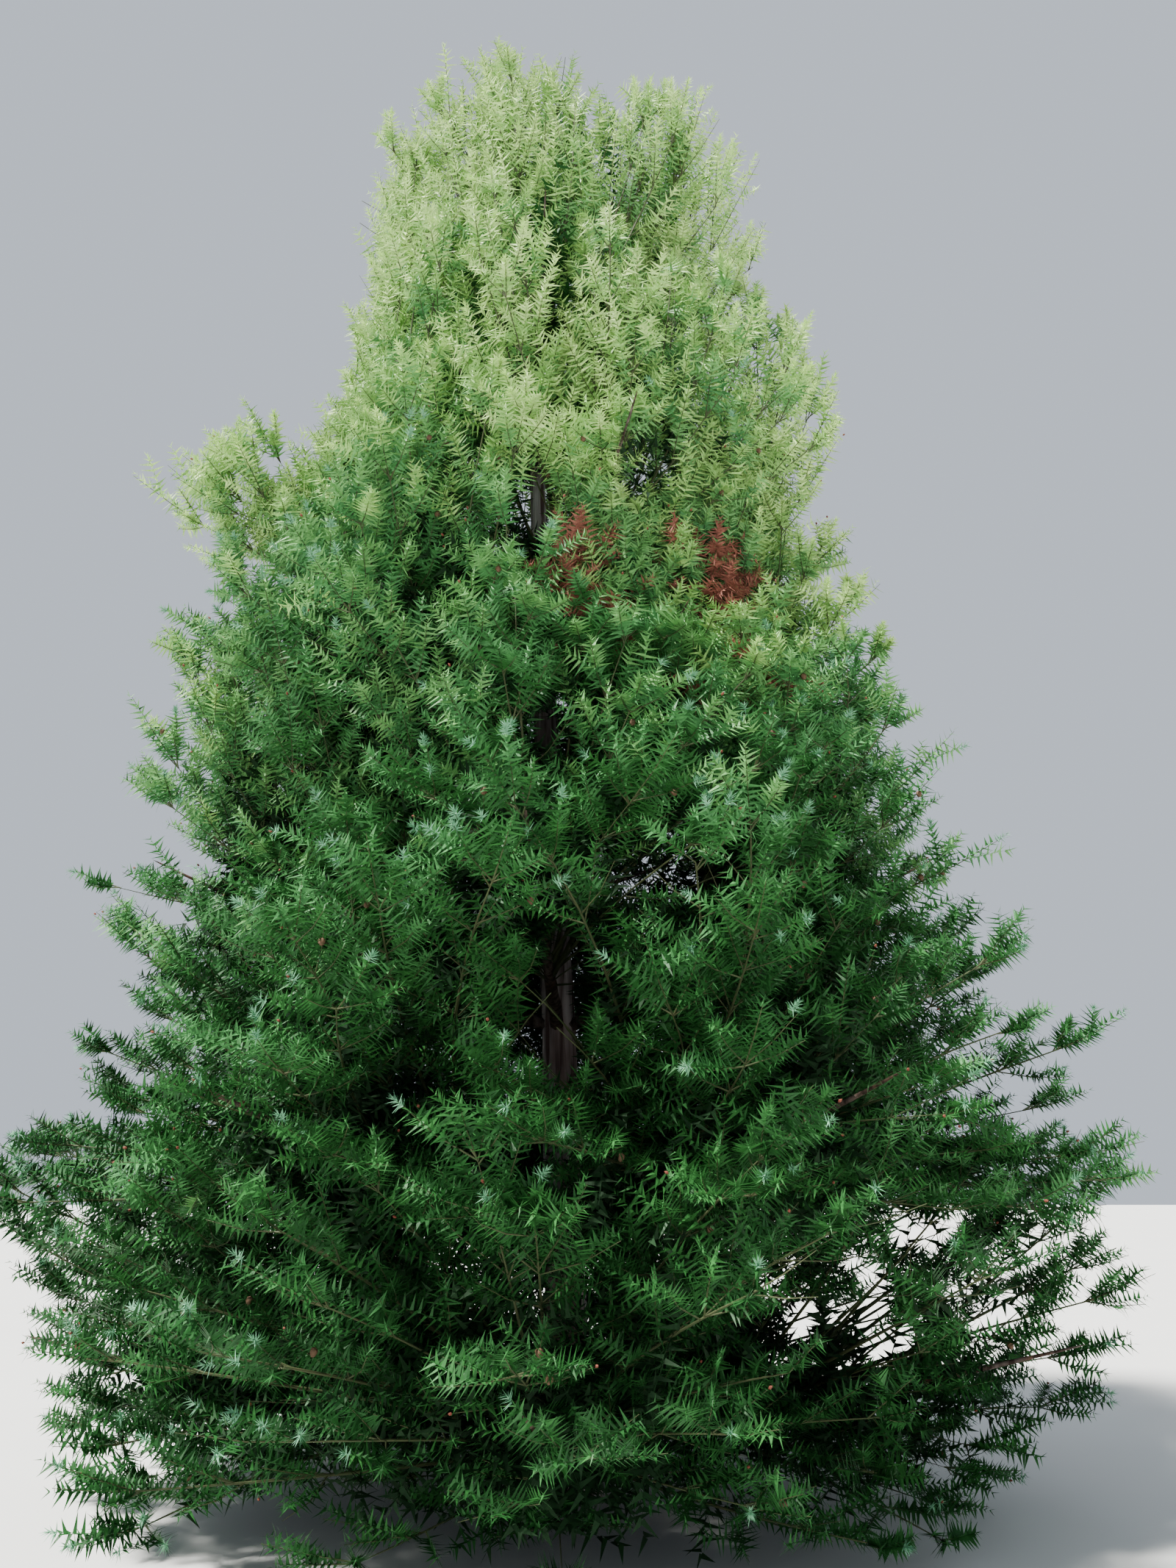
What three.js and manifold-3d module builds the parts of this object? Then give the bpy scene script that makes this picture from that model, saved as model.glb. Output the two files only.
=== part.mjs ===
// A china fir grown in the open: a broad, blunt-headed conifer, branched almost to the ground.
// Millimetres, +Z up. The origin is the middle of the trunk's flat cut at ground level.
// Tiers of boughs leave the trunk one above the other. Each bough ends where its mass of foliage begins,
// and each mass keeps to the wedge of the crown between its own tier and the next one up.
import * as THREE from "three";
import { mergeVertices } from "three/addons/utils/BufferGeometryUtils.js";
import Module from "manifold-3d";

const wasm = await Module();
wasm.setup();

// Crown
const TREE_HEIGHT = 9450;
const WIDEST_HEIGHT = 1400;
const WIDEST_REACH = 3250;
const FLANK_TOP = 8000;
const FLANK_TOP_REACH = 1450;
const FLANK_CURVE = 1.25;
const SHOULDER_HEIGHT = 7600;
const SKIRT_DEPTH = 1900;
const HEAD_SHIFT = 0.13;
const HEAD_SHIFT_FROM = 5000;
const HEAD_SHIFT_RISE = 1500;
const LEAST_VIGOUR = 0.93;
const VIGOUR_SPAN = 0.09;

// Trunk
const TRUNK_HEIGHT = 7750;
const TRUNK_RADIUS = 125;
const TRUNK_TIP_RADIUS = 10;
const TRUNK_TAPER = 0.7;
const TRUNK_LEAN = 260;
const FLARE = 0.55;
const FLARE_HEIGHT = 180;
const FLARE_RIDGES = 5;
const FLARE_RIDGE_SHARE = 0.25;
const TRUNK_SIDES = 15;
const TRUNK_RINGS = 13;
const RING_CROWDING = 1.6;

// Tiers of boughs, from the ground up: the height where they leave the trunk, their rise for each unit of
// reach, their number, the first azimuth in degrees, their radius at the trunk, and the angle that is kept
// free of green boughs, centred on the first azimuth.
const TIERS = [
  { base: 250, slope: 0.22, boughs: 5, turn: -56, radius: 44, kept: 0 },
  { base: 1300, slope: 0.27, boughs: 5, turn: -20, radius: 42, kept: 0 },
  { base: 2400, slope: 0.38, boughs: 5, turn: -128, radius: 38, kept: 0 },
  { base: 3600, slope: 0.52, boughs: 4, turn: -62, radius: 34, kept: 44 },
  { base: 4700, slope: 0.56, boughs: 4, turn: -205, radius: 30, kept: 0 },
  { base: 6250, slope: 0.95, boughs: 3, turn: 5, radius: 26, kept: 90 },
];
const HEAD_TIER = { base: 7600, slope: 1.05 };
const BOUGH_SHARE = 0.38;
const BOUGH_TAPER = 0.52;
const BOUGH_SIDES = 6;
const BOUGH_STEPS = 3;
const UPTURN = 0.2;
const UPTURN_LENGTH = 2500;
const DROOP = 120;
const DROOP_SLOPE = 0.13;

// Limbs that stand apart from the tiers: a long bough that leaves the crown's outline, with the height
// above which its foliage fades back into the crown, a second leader beside the trunk's own, a dead bough
// that keeps its russet sprays, and two dead boughs that are bare.
const LONG_BOUGH = { tier: 4, index: 0, extra: 800, top: 5900, fade: 600 };
const SECOND_LEADER = { azimuth: 5, base: 6250, slope: 2.1, end: 620, lean: 0.16, tip: 9050, radius: 30 };
const DEAD_BOUGH = { tier: 3, azimuth: -62, end: 780, vigour: 0.86, radius: 17 };
const BARE_BOUGHS = [
  { base: 3250, slope: -0.03, azimuth: -42, end: 1150, radius: 16 },
  { base: 2050, slope: 0.05, azimuth: -33, end: 1350, radius: 15 },
];
const LEADER_TAPER = 0.6;
const BARE_TAPER = 0.35;

// The two heads: the height of the main one's stem, half the angle of the second leader's side, and the
// distance from the trunk where that side begins.
const HEAD_TIP = 9150;
const HEAD_WEDGE = 45;
const HEAD_SPLIT = 280;

// Foliage: the stem of a mass, its dense layers, and the sprays that stand out of them
const STEM_SIDES = 4;
const STEM_STEPS = 2;
const STEM_FIT = 0.9;
const BOUGH_LAYERS = [
  { along: 0.55, raised: 0 },
  { along: 0.4, raised: 0.6 },
];
const HEAD_LAYERS = [
  { along: 0.15, raised: 0 },
  { along: 0.5, raised: 0 },
  { along: 0.85, raised: 0 },
];
const LAYER_SIDES = 24;
const LAYER_RINGS = [
  { spread: 0, rise: 1 },
  { spread: 1, rise: 0 },
  { spread: 0, rise: -1 },
];
const LAYER_DOME = 0.22;
const LAYER_BELLY = 0.25;
const LAYER_CURL = 0.05;
const TOOTH = 1;
const NOTCH = 0.56;
const TOOTH_UNEVENNESS = 0.18;
const SPRAYS_TO_A_MASS = 5;
const SPRAYS_TO_A_HEAD = 7;
const SPRAYS_BELOW = 4;
const SPRAY_LENGTH = 460;
const SPRAY_LENGTH_SHARE = 0.14;
const HEAD_SPRAY = 560;
const SPRAY_LEAN = 1.25;
const SPRAY_LEAN_TIP = 0.6;
const SPRAY_RISE = 0.15;
const DEAD_SPRAY_RISE = -0.45;
const ROLL_FROM = 0.12;
const ROLL_SPAN = 0.76;
const FACE_OUTWARDS = 0.9;
const SPRAY_SHARE = 0.8;
const SPRAY_THICKNESS = 24;
const SPRAY_CURL = 0.12;
const SPRAY_SHRINK = 0.85;
const SPRAY_TRIES = 6;
const TURNS_TO_A_SPRAY = 3;
const SHORTEST_SPRAY = 240;
const STALK_HALF = 8;
const HEAD_SEED = 42;
const LEADER_SEED = 41;
const DEAD_SEED = 43;
const GOLDEN_TURN = 2.39996;
const GOLDEN_SHARE = 0.618;

// Half the outline of a spray of shoots, across and along, for a length of one: the neck of its stalk,
// two side shoots with the notch after each, and the tip. The thick middle of the spray is on its axis.
const SPRAY_HALF = [
  [0.012, 0.05],
  [0.34, 0.5],
  [0.13, 0.5],
  [0.2, 0.84],
  [0.07, 0.74],
];
const SPRAY_MIDDLE = 0.34;

// Clearances
const GAP = 0.3;
const WEDGE_MARGIN = 14;
const FLOOR_MARGIN = 16;
const CEILING_MARGIN = 46;
const LIMB_MARGIN = 30;
const ROOM_STEP = 40;
const SLIVER = 1;
const SHORT_WAY = 0.01;
const NEARLY_UPRIGHT = 0.9;

const UP = new THREE.Vector3(0, 0, 1);
const FORWARD = new THREE.Vector3(1, 0, 0);
const SIDEWAYS = new THREE.Vector3(0, 1, 0);
const radians = THREE.MathUtils.degToRad;
const clamp = THREE.MathUtils.clamp;
const smooth = (share) => THREE.MathUtils.smoothstep(share, 0, 1);

// A repeatable number between 0 and 1 for each index and salt.
function scatter(index, salt) {
  const value = Math.sin(index * 12.9898 + salt * 78.233) * 43758.5453;
  return value - Math.floor(value);
}

// The turn from one azimuth to another, between minus and plus half a turn.
function turnBetween(from, to) {
  return Math.atan2(Math.sin(to - from), Math.cos(to - from));
}

// How far the crown reaches from the trunk's axis: a flank that narrows upwards, a domed head, a skirt
// that draws in under the lowest tier, and a head that leans over to +X.
function crownReach(height, azimuth) {
  const climb = clamp((FLANK_TOP - height) / (FLANK_TOP - WIDEST_HEIGHT), 0, 1);
  const flank = FLANK_TOP_REACH + (WIDEST_REACH - FLANK_TOP_REACH) * climb ** FLANK_CURVE;
  const over = Math.max(0, (height - SHOULDER_HEIGHT) / (TREE_HEIGHT - SHOULDER_HEIGHT));
  const under = Math.max(0, (WIDEST_HEIGHT - height) / SKIRT_DEPTH);
  const dome = Math.sqrt(Math.max(0, 1 - over ** 2));
  const skirt = Math.sqrt(Math.max(0, 1 - under ** 2));
  const shift = HEAD_SHIFT * smooth((height - HEAD_SHIFT_FROM) / HEAD_SHIFT_RISE);
  return flank * dome * skirt * (1 + shift * Math.cos(azimuth));
}

// The trunk's axis leans slowly over to -X and stands upright again at its tip.
function trunkAxis(height) {
  return new THREE.Vector3(-TRUNK_LEAN * smooth(height / TRUNK_HEIGHT), 0, height);
}

// The trunk's radius without its root flare.
function trunkRadius(height) {
  const share = Math.max(0, 1 - height / TRUNK_HEIGHT);
  return TRUNK_TIP_RADIUS + (TRUNK_RADIUS - TRUNK_TIP_RADIUS) * share ** TRUNK_TAPER;
}

// The height of a tier's boughs at a distance from the trunk, and of the surface under their foliage.
function boughHeight(tier, out) {
  return tier.base + tier.slope * out * (1 - UPTURN + (UPTURN * out) / UPTURN_LENGTH);
}

function floorHeight(tier, out) {
  return boughHeight(tier, out) - DROOP - DROOP_SLOPE * out;
}

// A point given by its distance from the trunk's axis, its azimuth and its height, and the reverse.
function pointAt(out, azimuth, height) {
  return trunkAxis(height).add(new THREE.Vector3(Math.cos(azimuth) * out, Math.sin(azimuth) * out, 0));
}

function placeOf(point) {
  const fromAxis = point.clone().sub(trunkAxis(point.z));
  return {
    out: Math.hypot(fromAxis.x, fromAxis.y),
    azimuth: Math.atan2(fromAxis.y, fromAxis.x),
    height: point.z,
  };
}

// The level direction away from the trunk.
function awayFromTrunk(point) {
  const { azimuth } = placeOf(point);
  return new THREE.Vector3(Math.cos(azimuth), Math.sin(azimuth), 0);
}

// A closed three.js geometry as a solid, and a solid as a geometry.
function solidOf(geometry) {
  const bare = geometry.clone();
  bare.deleteAttribute("normal");
  bare.deleteAttribute("uv");
  const merged = mergeVertices(bare, 1e-3);
  const vertProperties = merged.attributes.position.array;
  const triVerts = new Uint32Array(merged.index.array);
  return new wasm.Manifold(new wasm.Mesh({ numProp: 3, vertProperties, triVerts }));
}

function geometryOf(solid) {
  const mesh = solid.getMesh();
  const geometry = new THREE.BufferGeometry();
  geometry.setAttribute("position", new THREE.BufferAttribute(mesh.vertProperties, 3));
  geometry.setIndex(new THREE.BufferAttribute(mesh.triVerts, 1));
  geometry.computeVertexNormals();
  return geometry;
}

// The largest body of a solid, with its slivers merged. A sealed hollow is filled and a scrap is dropped.
function wholeBody(solid) {
  const bodies = solid.simplify(SLIVER).decompose();
  return bodies.reduce((best, body) => (body.volume() > best.volume() ? body : best));
}

// The tangent of a path at a share of its length, with a level and a lifting direction square to it.
function frameAt(path, along) {
  const ahead = path(along + SHORT_WAY).sub(path(along - SHORT_WAY)).normalize();
  const across = ahead.z > NEARLY_UPRIGHT ? SIDEWAYS : UP;
  const level = new THREE.Vector3().crossVectors(ahead, across).normalize();
  const lift = new THREE.Vector3().crossVectors(level, ahead);
  return { ahead, level, lift };
}

// A limb along a path, with a radius at each share of its length: a cylinder whose rings are moved onto
// the path. A pointed limb is a cone, which narrows to nothing as well.
function limbGeometry(path, radiusAt, sides, steps, pointed) {
  const geometry = new THREE.CylinderGeometry(pointed ? 0 : 1, 1, 1, sides, steps);
  const position = geometry.attributes.position;
  for (let i = 0; i < position.count; i += 1) {
    const along = clamp(position.getY(i) + 0.5, 0, 1);
    const { level, lift } = frameAt(path, along);
    const spot = path(along);
    spot.addScaledVector(level, position.getX(i) * radiusAt(along));
    spot.addScaledVector(lift, position.getZ(i) * radiusAt(along));
    position.setXYZ(i, spot.x, spot.y, spot.z);
  }
  return geometry;
}

// The trunk stands in level rings, so that its cut at the ground is flat. Its flare has low ridges.
function trunkGeometry(grown) {
  const geometry = new THREE.CylinderGeometry(1, 1, 1, TRUNK_SIDES, TRUNK_RINGS);
  const position = geometry.attributes.position;
  for (let i = 0; i < position.count; i += 1) {
    const height = (TRUNK_HEIGHT + grown) * (position.getY(i) + 0.5) ** RING_CROWDING;
    const x = position.getZ(i);
    const y = position.getX(i);
    const ridge = 1 + FLARE_RIDGE_SHARE * Math.cos(FLARE_RIDGES * Math.atan2(y, x));
    const flare = 1 + FLARE * ridge * Math.exp(-height / FLARE_HEIGHT);
    const radius = trunkRadius(height) * flare + grown;
    const centre = trunkAxis(height);
    position.setXYZ(i, centre.x + x * radius, centre.y + y * radius, height);
  }
  return geometry;
}

const trunkSolid = solidOf(trunkGeometry(0));
const trunkRoom = solidOf(trunkGeometry(GAP));

// A tapered limb along a path, grown all round by a clearance.
function limbSolid(path, radius, taper, grown) {
  const radiusAt = (along) => radius * (1 - (1 - taper) * along) + grown;
  return solidOf(limbGeometry(path, radiusAt, BOUGH_SIDES, BOUGH_STEPS, false));
}

// A bough grows from the trunk's axis along a path, and its foot is cut to the trunk's surface.
function boughSolid(path, radius, taper) {
  return wholeBody(limbSolid(path, radius, taper, 0).subtract(trunkRoom));
}

// The line of a tier's bough and of the stem that carries it on, from one distance to another.
function tierLine(tier, azimuth, from, to) {
  return (along) => {
    const out = from + (to - from) * along;
    return pointAt(out, azimuth, boughHeight(tier, out));
  };
}

// The second leader climbs away from the trunk and then turns almost upright.
function leaderLine(from, to) {
  const { azimuth, base, slope, end, lean } = SECOND_LEADER;
  return (along) => {
    const rise = from + (to - from) * along;
    const knee = slope * end;
    const out = rise < knee ? rise / slope : end + (rise - knee) * lean;
    return pointAt(out, radians(azimuth), base + rise);
  };
}

// The places of the green boughs: a tier and the one above it, an azimuth, half the angle of the wedge,
// how much the bough grows beyond the even outline, and the distance where its foliage starts.
function greenPlaces() {
  const places = [];
  TIERS.forEach((tier, level) => {
    const share = (360 - tier.kept) / tier.boughs;
    for (let i = 0; i < tier.boughs; i += 1) {
      const azimuth = radians(tier.turn + tier.kept / 2 + share * (i + 0.5));
      const isLong = level === LONG_BOUGH.tier && i === LONG_BOUGH.index;
      places.push({
        name: `${level + 1}_${i + 1}`,
        tier,
        above: TIERS[level + 1] ?? HEAD_TIER,
        azimuth,
        half: radians(share / 2),
        vigour: LEAST_VIGOUR + VIGOUR_SPAN * scatter(places.length, 1),
        extra: isLong ? LONG_BOUGH.extra : 0,
        radius: tier.radius,
        start: BOUGH_SHARE * crownReach(boughHeight(tier, WIDEST_REACH / 2), azimuth),
        seed: places.length + 1,
      });
    }
  });
  return places;
}

// The furthest that a place's foliage may reach at a height and azimuth. What grows beyond the even
// outline is a tongue round the bough's own azimuth, which fades out above the bough's end.
function reachOf(place, height, azimuth) {
  const aside = clamp(Math.abs(turnBetween(place.azimuth, azimuth)) / place.half, 0, 1);
  const fading = smooth((height - LONG_BOUGH.top) / LONG_BOUGH.fade);
  const tongue = place.extra * (1 - aside ** 2) ** 3 * (1 - fading);
  return crownReach(height, azimuth) * place.vigour + tongue;
}

// Whether a point lies in a place's own wedge, between its tier's floor and the next one's.
function insidePlace(place, point) {
  const { out, azimuth, height } = placeOf(point);
  const aside = Math.abs(turnBetween(place.azimuth, azimuth));
  const toWall = Math.sin(Math.min(place.half - aside, Math.PI / 2)) * out;
  return (
    toWall > WEDGE_MARGIN &&
    out > place.start + LIMB_MARGIN &&
    out < reachOf(place, height, azimuth) &&
    height > floorHeight(place.tier, out) + FLOOR_MARGIN &&
    height < floorHeight(place.above, out) - CEILING_MARGIN
  );
}

// Whether a point lies in the head: above every tier, on the trunk's side or on the second leader's.
function insideHead(point, besideLeader) {
  const { out, azimuth, height } = placeOf(point);
  const aside = Math.abs(turnBetween(radians(SECOND_LEADER.azimuth), azimuth));
  const toWall = Math.sin(radians(HEAD_WEDGE) - aside) * out;
  const crossing = out * Math.cos(aside);
  if (out >= crownReach(height, azimuth)) {
    return false;
  }
  if (besideLeader) {
    const within = aside < radians(HEAD_WEDGE) && toWall > WEDGE_MARGIN;
    const above = height > floorHeight(TIERS.at(-1), out) + FLOOR_MARGIN;
    return within && above && crossing > HEAD_SPLIT + WEDGE_MARGIN;
  }
  const beyondWall = aside > radians(HEAD_WEDGE) && -toWall > WEDGE_MARGIN;
  const behindSplit = crossing < HEAD_SPLIT - WEDGE_MARGIN;
  return (beyondWall || behindSplit) && height > floorHeight(HEAD_TIER, out) + FLOOR_MARGIN;
}

// The closed outline of a spray with its stalk, anticlockwise seen from above.
function sprayOutline(length, stalk) {
  const right = SPRAY_HALF.map(([across, forward]) => [across * length, forward * length]);
  const left = right.map(([across, forward]) => [-across, forward]).reverse();
  return [[0, length], ...left, [-STALK_HALF, -stalk], [STALK_HALF, -stalk], ...right];
}

// A spray of shoots on its stalk: a thin fan with pointed ends, thick in the middle and curled up towards
// its tip. It is a sphere of two rings, whose equator becomes the outline and whose poles the middle.
function sprayGeometry(root, ahead, face, length, stalk) {
  const side = new THREE.Vector3().crossVectors(ahead, face).normalize();
  const normal = new THREE.Vector3().crossVectors(side, ahead);
  const outline = sprayOutline(length, stalk);
  const geometry = new THREE.SphereGeometry(1, outline.length, 2);
  const position = geometry.attributes.position;
  for (let i = 0; i < position.count; i += 1) {
    const ring = Math.floor(i / (outline.length + 1));
    const number = (i % (outline.length + 1)) % outline.length;
    const [across, forward] = ring === 1 ? outline[number] : [0, SPRAY_MIDDLE * length];
    const curl = (SPRAY_CURL * Math.max(0, forward) ** 2) / length;
    const spot = root.clone();
    spot.addScaledVector(side, across);
    spot.addScaledVector(ahead, forward + stalk);
    spot.addScaledVector(normal, curl + ((1 - ring) * SPRAY_THICKNESS) / 2);
    position.setXYZ(i, spot.x, spot.y, spot.z);
  }
  return geometry;
}

// Whether two solids touch.
function touching(one, other) {
  return !one.intersect(other).isEmpty();
}

// How far one can go from a point before leaving a place.
function roomAlong(start, ahead, inside) {
  let room = ROOM_STEP;
  while (room < WIDEST_REACH && inside(start.clone().addScaledVector(ahead, room + ROOM_STEP))) {
    room += ROOM_STEP;
  }
  return room;
}

// A spray that fits its place and stays clear of its neighbours. It reaches as far as the place allows,
// is tried smaller and smaller on a longer stalk, and is left out if no size fits.
function fittingSpray(root, ahead, length, inside, neighbours) {
  const face = UP.clone().addScaledVector(awayFromTrunk(root), FACE_OUTWARDS);
  const room = roomAlong(root, ahead, inside);
  let size = Math.min(length, room * SPRAY_SHARE);
  let reach = room;
  for (let tries = 0; tries < SPRAY_TRIES && size > SHORTEST_SPRAY; tries += 1) {
    const geometry = sprayGeometry(root, ahead, face, size, reach - size);
    const position = geometry.attributes.position;
    let fits = true;
    for (let i = 0; i < position.count && fits; i += 1) {
      const spot = new THREE.Vector3().fromBufferAttribute(position, i);
      fits = spot.distanceTo(root) < LIMB_MARGIN || inside(spot);
    }
    if (fits) {
      const spray = solidOf(geometry);
      if (!neighbours.some((neighbour) => touching(spray, neighbour))) {
        return spray;
      }
    }
    size *= SPRAY_SHRINK;
    reach -= ROOM_STEP;
  }
  return null;
}

// A dense layer of shoots round a point of the stem: a flat body, domed above and below, whose rim is cut
// into pointed fans that reach as far as the place allows and turn up at their tips.
function layerGeometry(centre, forward, normal, inside, seed) {
  const side = new THREE.Vector3().crossVectors(forward, normal);
  const dome = LAYER_DOME * roomAlong(centre, normal, inside);
  const belly = LAYER_BELLY * roomAlong(centre, normal.clone().negate(), inside);
  const geometry = new THREE.SphereGeometry(1, LAYER_SIDES, LAYER_RINGS.length - 1);
  const position = geometry.attributes.position;
  for (let i = 0; i < position.count; i += 1) {
    const { spread, rise } = LAYER_RINGS[Math.floor(i / (LAYER_SIDES + 1))];
    const number = (i % (LAYER_SIDES + 1)) % LAYER_SIDES;
    const turn = (2 * Math.PI * number) / LAYER_SIDES;
    const outwards = forward.clone().multiplyScalar(-Math.cos(turn));
    outwards.addScaledVector(side, Math.sin(turn));
    const room = roomAlong(centre, outwards, inside);
    const share = (number % 2 === 0 ? TOOTH : NOTCH) * (1 - TOOTH_UNEVENNESS * scatter(number, seed));
    const spot = centre.clone().addScaledVector(outwards, room * share * spread);
    const curl = rise === 0 ? LAYER_CURL * room * share : 0;
    spot.addScaledVector(normal, curl + rise * (rise > 0 ? dome : belly));
    position.setXYZ(i, spot.x, spot.y, spot.z);
  }
  return geometry;
}

// The direction of a spray from its place on the stem: further from the tip the more it spreads. On a bough
// most sprays rise above the layers and every fourth one hangs below. On a head they stand all round.
function sprayDirection(stem, i, along, seed) {
  const { ahead, level, lift } = frameAt(stem.line, along);
  const hangs = i % SPRAYS_BELOW === SPRAYS_BELOW - 1;
  const half = Math.PI * (ROLL_FROM + ROLL_SPAN * scatter(i, seed));
  const roll = stem.upright ? GOLDEN_TURN * i : hangs ? -half : half;
  const lean = SPRAY_LEAN + (SPRAY_LEAN_TIP - SPRAY_LEAN) * along;
  const direction = ahead.clone().multiplyScalar(Math.cos(lean));
  direction.addScaledVector(level, Math.cos(roll) * Math.sin(lean));
  direction.addScaledVector(lift, Math.sin(roll) * Math.sin(lean));
  return direction.addScaledVector(UP, stem.rise).normalize();
}

// The sprays of a mass. The first one ends the stem, and none touches another or a limb.
function spraysOf(stem, inside, seed, limbs) {
  const last = fittingSpray(stem.line(1), frameAt(stem.line, 1).ahead, stem.spray, inside, limbs);
  const sprays = last ? [last] : [];
  for (let i = 0; i < stem.sprays * TURNS_TO_A_SPRAY && sprays.length < stem.sprays; i += 1) {
    const along = 1 - ((i * GOLDEN_SHARE) % 1);
    const direction = sprayDirection(stem, i, along, seed);
    const spray = fittingSpray(stem.line(along), direction, stem.spray, inside, [...limbs, ...sprays]);
    if (spray) {
      sprays.push(spray);
    }
  }
  return sprays;
}

// One layer of a mass, with the riser that carries it where it is raised above the stem.
function layerPieces(stem, layer, inside, seed) {
  const { ahead, lift } = frameAt(stem.line, layer.along);
  const forward = stem.upright ? FORWARD : ahead;
  const normal = stem.upright ? UP : lift;
  const foot = stem.line(layer.along);
  const centre = foot.clone().addScaledVector(normal, layer.raised * roomAlong(foot, normal, inside));
  const pieces = [solidOf(layerGeometry(centre, forward, normal, inside, seed))];
  if (layer.raised > 0) {
    const riser = (share) => foot.clone().lerp(centre, share);
    pieces.push(solidOf(limbGeometry(riser, () => stem.radius, STEM_SIDES, 1, false)));
  }
  return pieces;
}

// A mass of foliage as one body: its stem, its layers and its sprays, cut clear of the limbs inside it.
function foliageSolid(stem, inside, seed, limbs) {
  const pieces = [solidOf(limbGeometry(stem.line, () => stem.radius, STEM_SIDES, STEM_STEPS, true))];
  stem.layers.forEach((layer, number) => pieces.push(...layerPieces(stem, layer, inside, seed + number)));
  pieces.push(...spraysOf(stem, inside, seed, limbs));
  const grown = wasm.Manifold.union(pieces);
  return wholeBody(limbs.reduce((left, limb) => left.subtract(limb), grown));
}

// The stem of a place's foliage carries on along the bough's line, just clear of the bough's end.
function placeStem(place) {
  const line = tierLine(place.tier, place.azimuth, 0, 1);
  let end = place.start + 2 * LIMB_MARGIN;
  while (insidePlace(place, line(end + ROOM_STEP))) {
    end += ROOM_STEP;
  }
  const { ahead } = frameAt(line, place.start);
  const start = place.start + GAP * Math.hypot(ahead.x, ahead.y);
  const spray = SPRAY_LENGTH + SPRAY_LENGTH_SHARE * end;
  return {
    line: tierLine(place.tier, place.azimuth, start, end - spray / 2),
    radius: place.radius * BOUGH_TAPER * STEM_FIT,
    layers: BOUGH_LAYERS,
    sprays: SPRAYS_TO_A_MASS,
    rise: SPRAY_RISE,
    upright: false,
    spray,
  };
}

const BARK = new THREE.MeshStandardMaterial({ color: 0x6b5a52, roughness: 0.95, metalness: 0 });
const NEEDLES = new THREE.MeshStandardMaterial({ color: 0x5f8a4a, roughness: 0.7, metalness: 0 });
const DEAD_NEEDLES = new THREE.MeshStandardMaterial({ color: 0x8a4a34, roughness: 0.85, metalness: 0 });

const tree = new THREE.Group();

function addNode(name, solid, material) {
  const mesh = new THREE.Mesh(geometryOf(solid), material);
  mesh.name = name;
  tree.add(mesh);
}

addNode("trunk", trunkSolid, BARK);

// The green boughs and their foliage
for (const place of greenPlaces()) {
  const line = tierLine(place.tier, place.azimuth, 0, place.start);
  const inside = (point) => insidePlace(place, point);
  addNode(`bough_${place.name}`, boughSolid(line, place.radius, BOUGH_TAPER), BARK);
  addNode(`foliage_${place.name}`, foliageSolid(placeStem(place), inside, place.seed, []), NEEDLES);
}

// The stem of a head's foliage, almost upright.
function headStem(line, radius) {
  return {
    line,
    radius,
    layers: HEAD_LAYERS,
    sprays: SPRAYS_TO_A_HEAD,
    rise: SPRAY_RISE,
    upright: true,
    spray: HEAD_SPRAY,
  };
}

// The second leader and the foliage round its upper part
const knee = SECOND_LEADER.slope * SECOND_LEADER.end;
const leader = boughSolid(leaderLine(0, knee), SECOND_LEADER.radius, LEADER_TAPER);
const leaderRoom = limbSolid(leaderLine(0, knee + GAP), SECOND_LEADER.radius, LEADER_TAPER, GAP);
const leaderTop = leaderLine(knee + GAP, SECOND_LEADER.tip - SECOND_LEADER.base);
const leaderStem = headStem(leaderTop, SECOND_LEADER.radius * LEADER_TAPER * STEM_FIT);
const insideLeader = (point) => insideHead(point, true);
const leaderLimbs = [leaderRoom, trunkRoom];
addNode("second_leader", leader, BARK);
addNode("foliage_second_leader", foliageSolid(leaderStem, insideLeader, LEADER_SEED, leaderLimbs), NEEDLES);

// The foliage round the trunk's own tip
const trunkTop = (along) => trunkAxis(TRUNK_HEIGHT + GAP + (HEAD_TIP - TRUNK_HEIGHT - GAP) * along);
const insideMain = (point) => insideHead(point, false);
const mainStem = headStem(trunkTop, TRUNK_TIP_RADIUS);
addNode("foliage_head", foliageSolid(mainStem, insideMain, HEAD_SEED, leaderLimbs), NEEDLES);

// The dead boughs, one with its russet sprays
const deadPlace = {
  tier: TIERS[DEAD_BOUGH.tier],
  above: TIERS[DEAD_BOUGH.tier + 1],
  azimuth: radians(DEAD_BOUGH.azimuth),
  half: radians(TIERS[DEAD_BOUGH.tier].kept / 2),
  vigour: DEAD_BOUGH.vigour,
  extra: 0,
  start: DEAD_BOUGH.end,
  radius: DEAD_BOUGH.radius,
};
const deadLine = tierLine(deadPlace.tier, deadPlace.azimuth, 0, DEAD_BOUGH.end);
const deadStem = { ...placeStem(deadPlace), layers: [], rise: DEAD_SPRAY_RISE };
addNode("dead_bough", boughSolid(deadLine, DEAD_BOUGH.radius, BOUGH_TAPER), BARK);
const insideDead = (point) => insidePlace(deadPlace, point);
addNode("dead_foliage", foliageSolid(deadStem, insideDead, DEAD_SEED, []), DEAD_NEEDLES);
BARE_BOUGHS.forEach(({ base, slope, azimuth, end, radius }, number) => {
  const line = (along) => pointAt(end * along, radians(azimuth), base + slope * end * along);
  addNode(`bare_bough_${number + 1}`, boughSolid(line, radius, BARE_TAPER), BARK);
});

export default tree;
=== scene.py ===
# A china fir grown in the open, 9.4 m tall: a broad blunt-headed conifer branched almost to the ground.
# Metres, +Z up, the origin in the middle of the trunk's cut at ground level, seen from -Y.
import math

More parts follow.
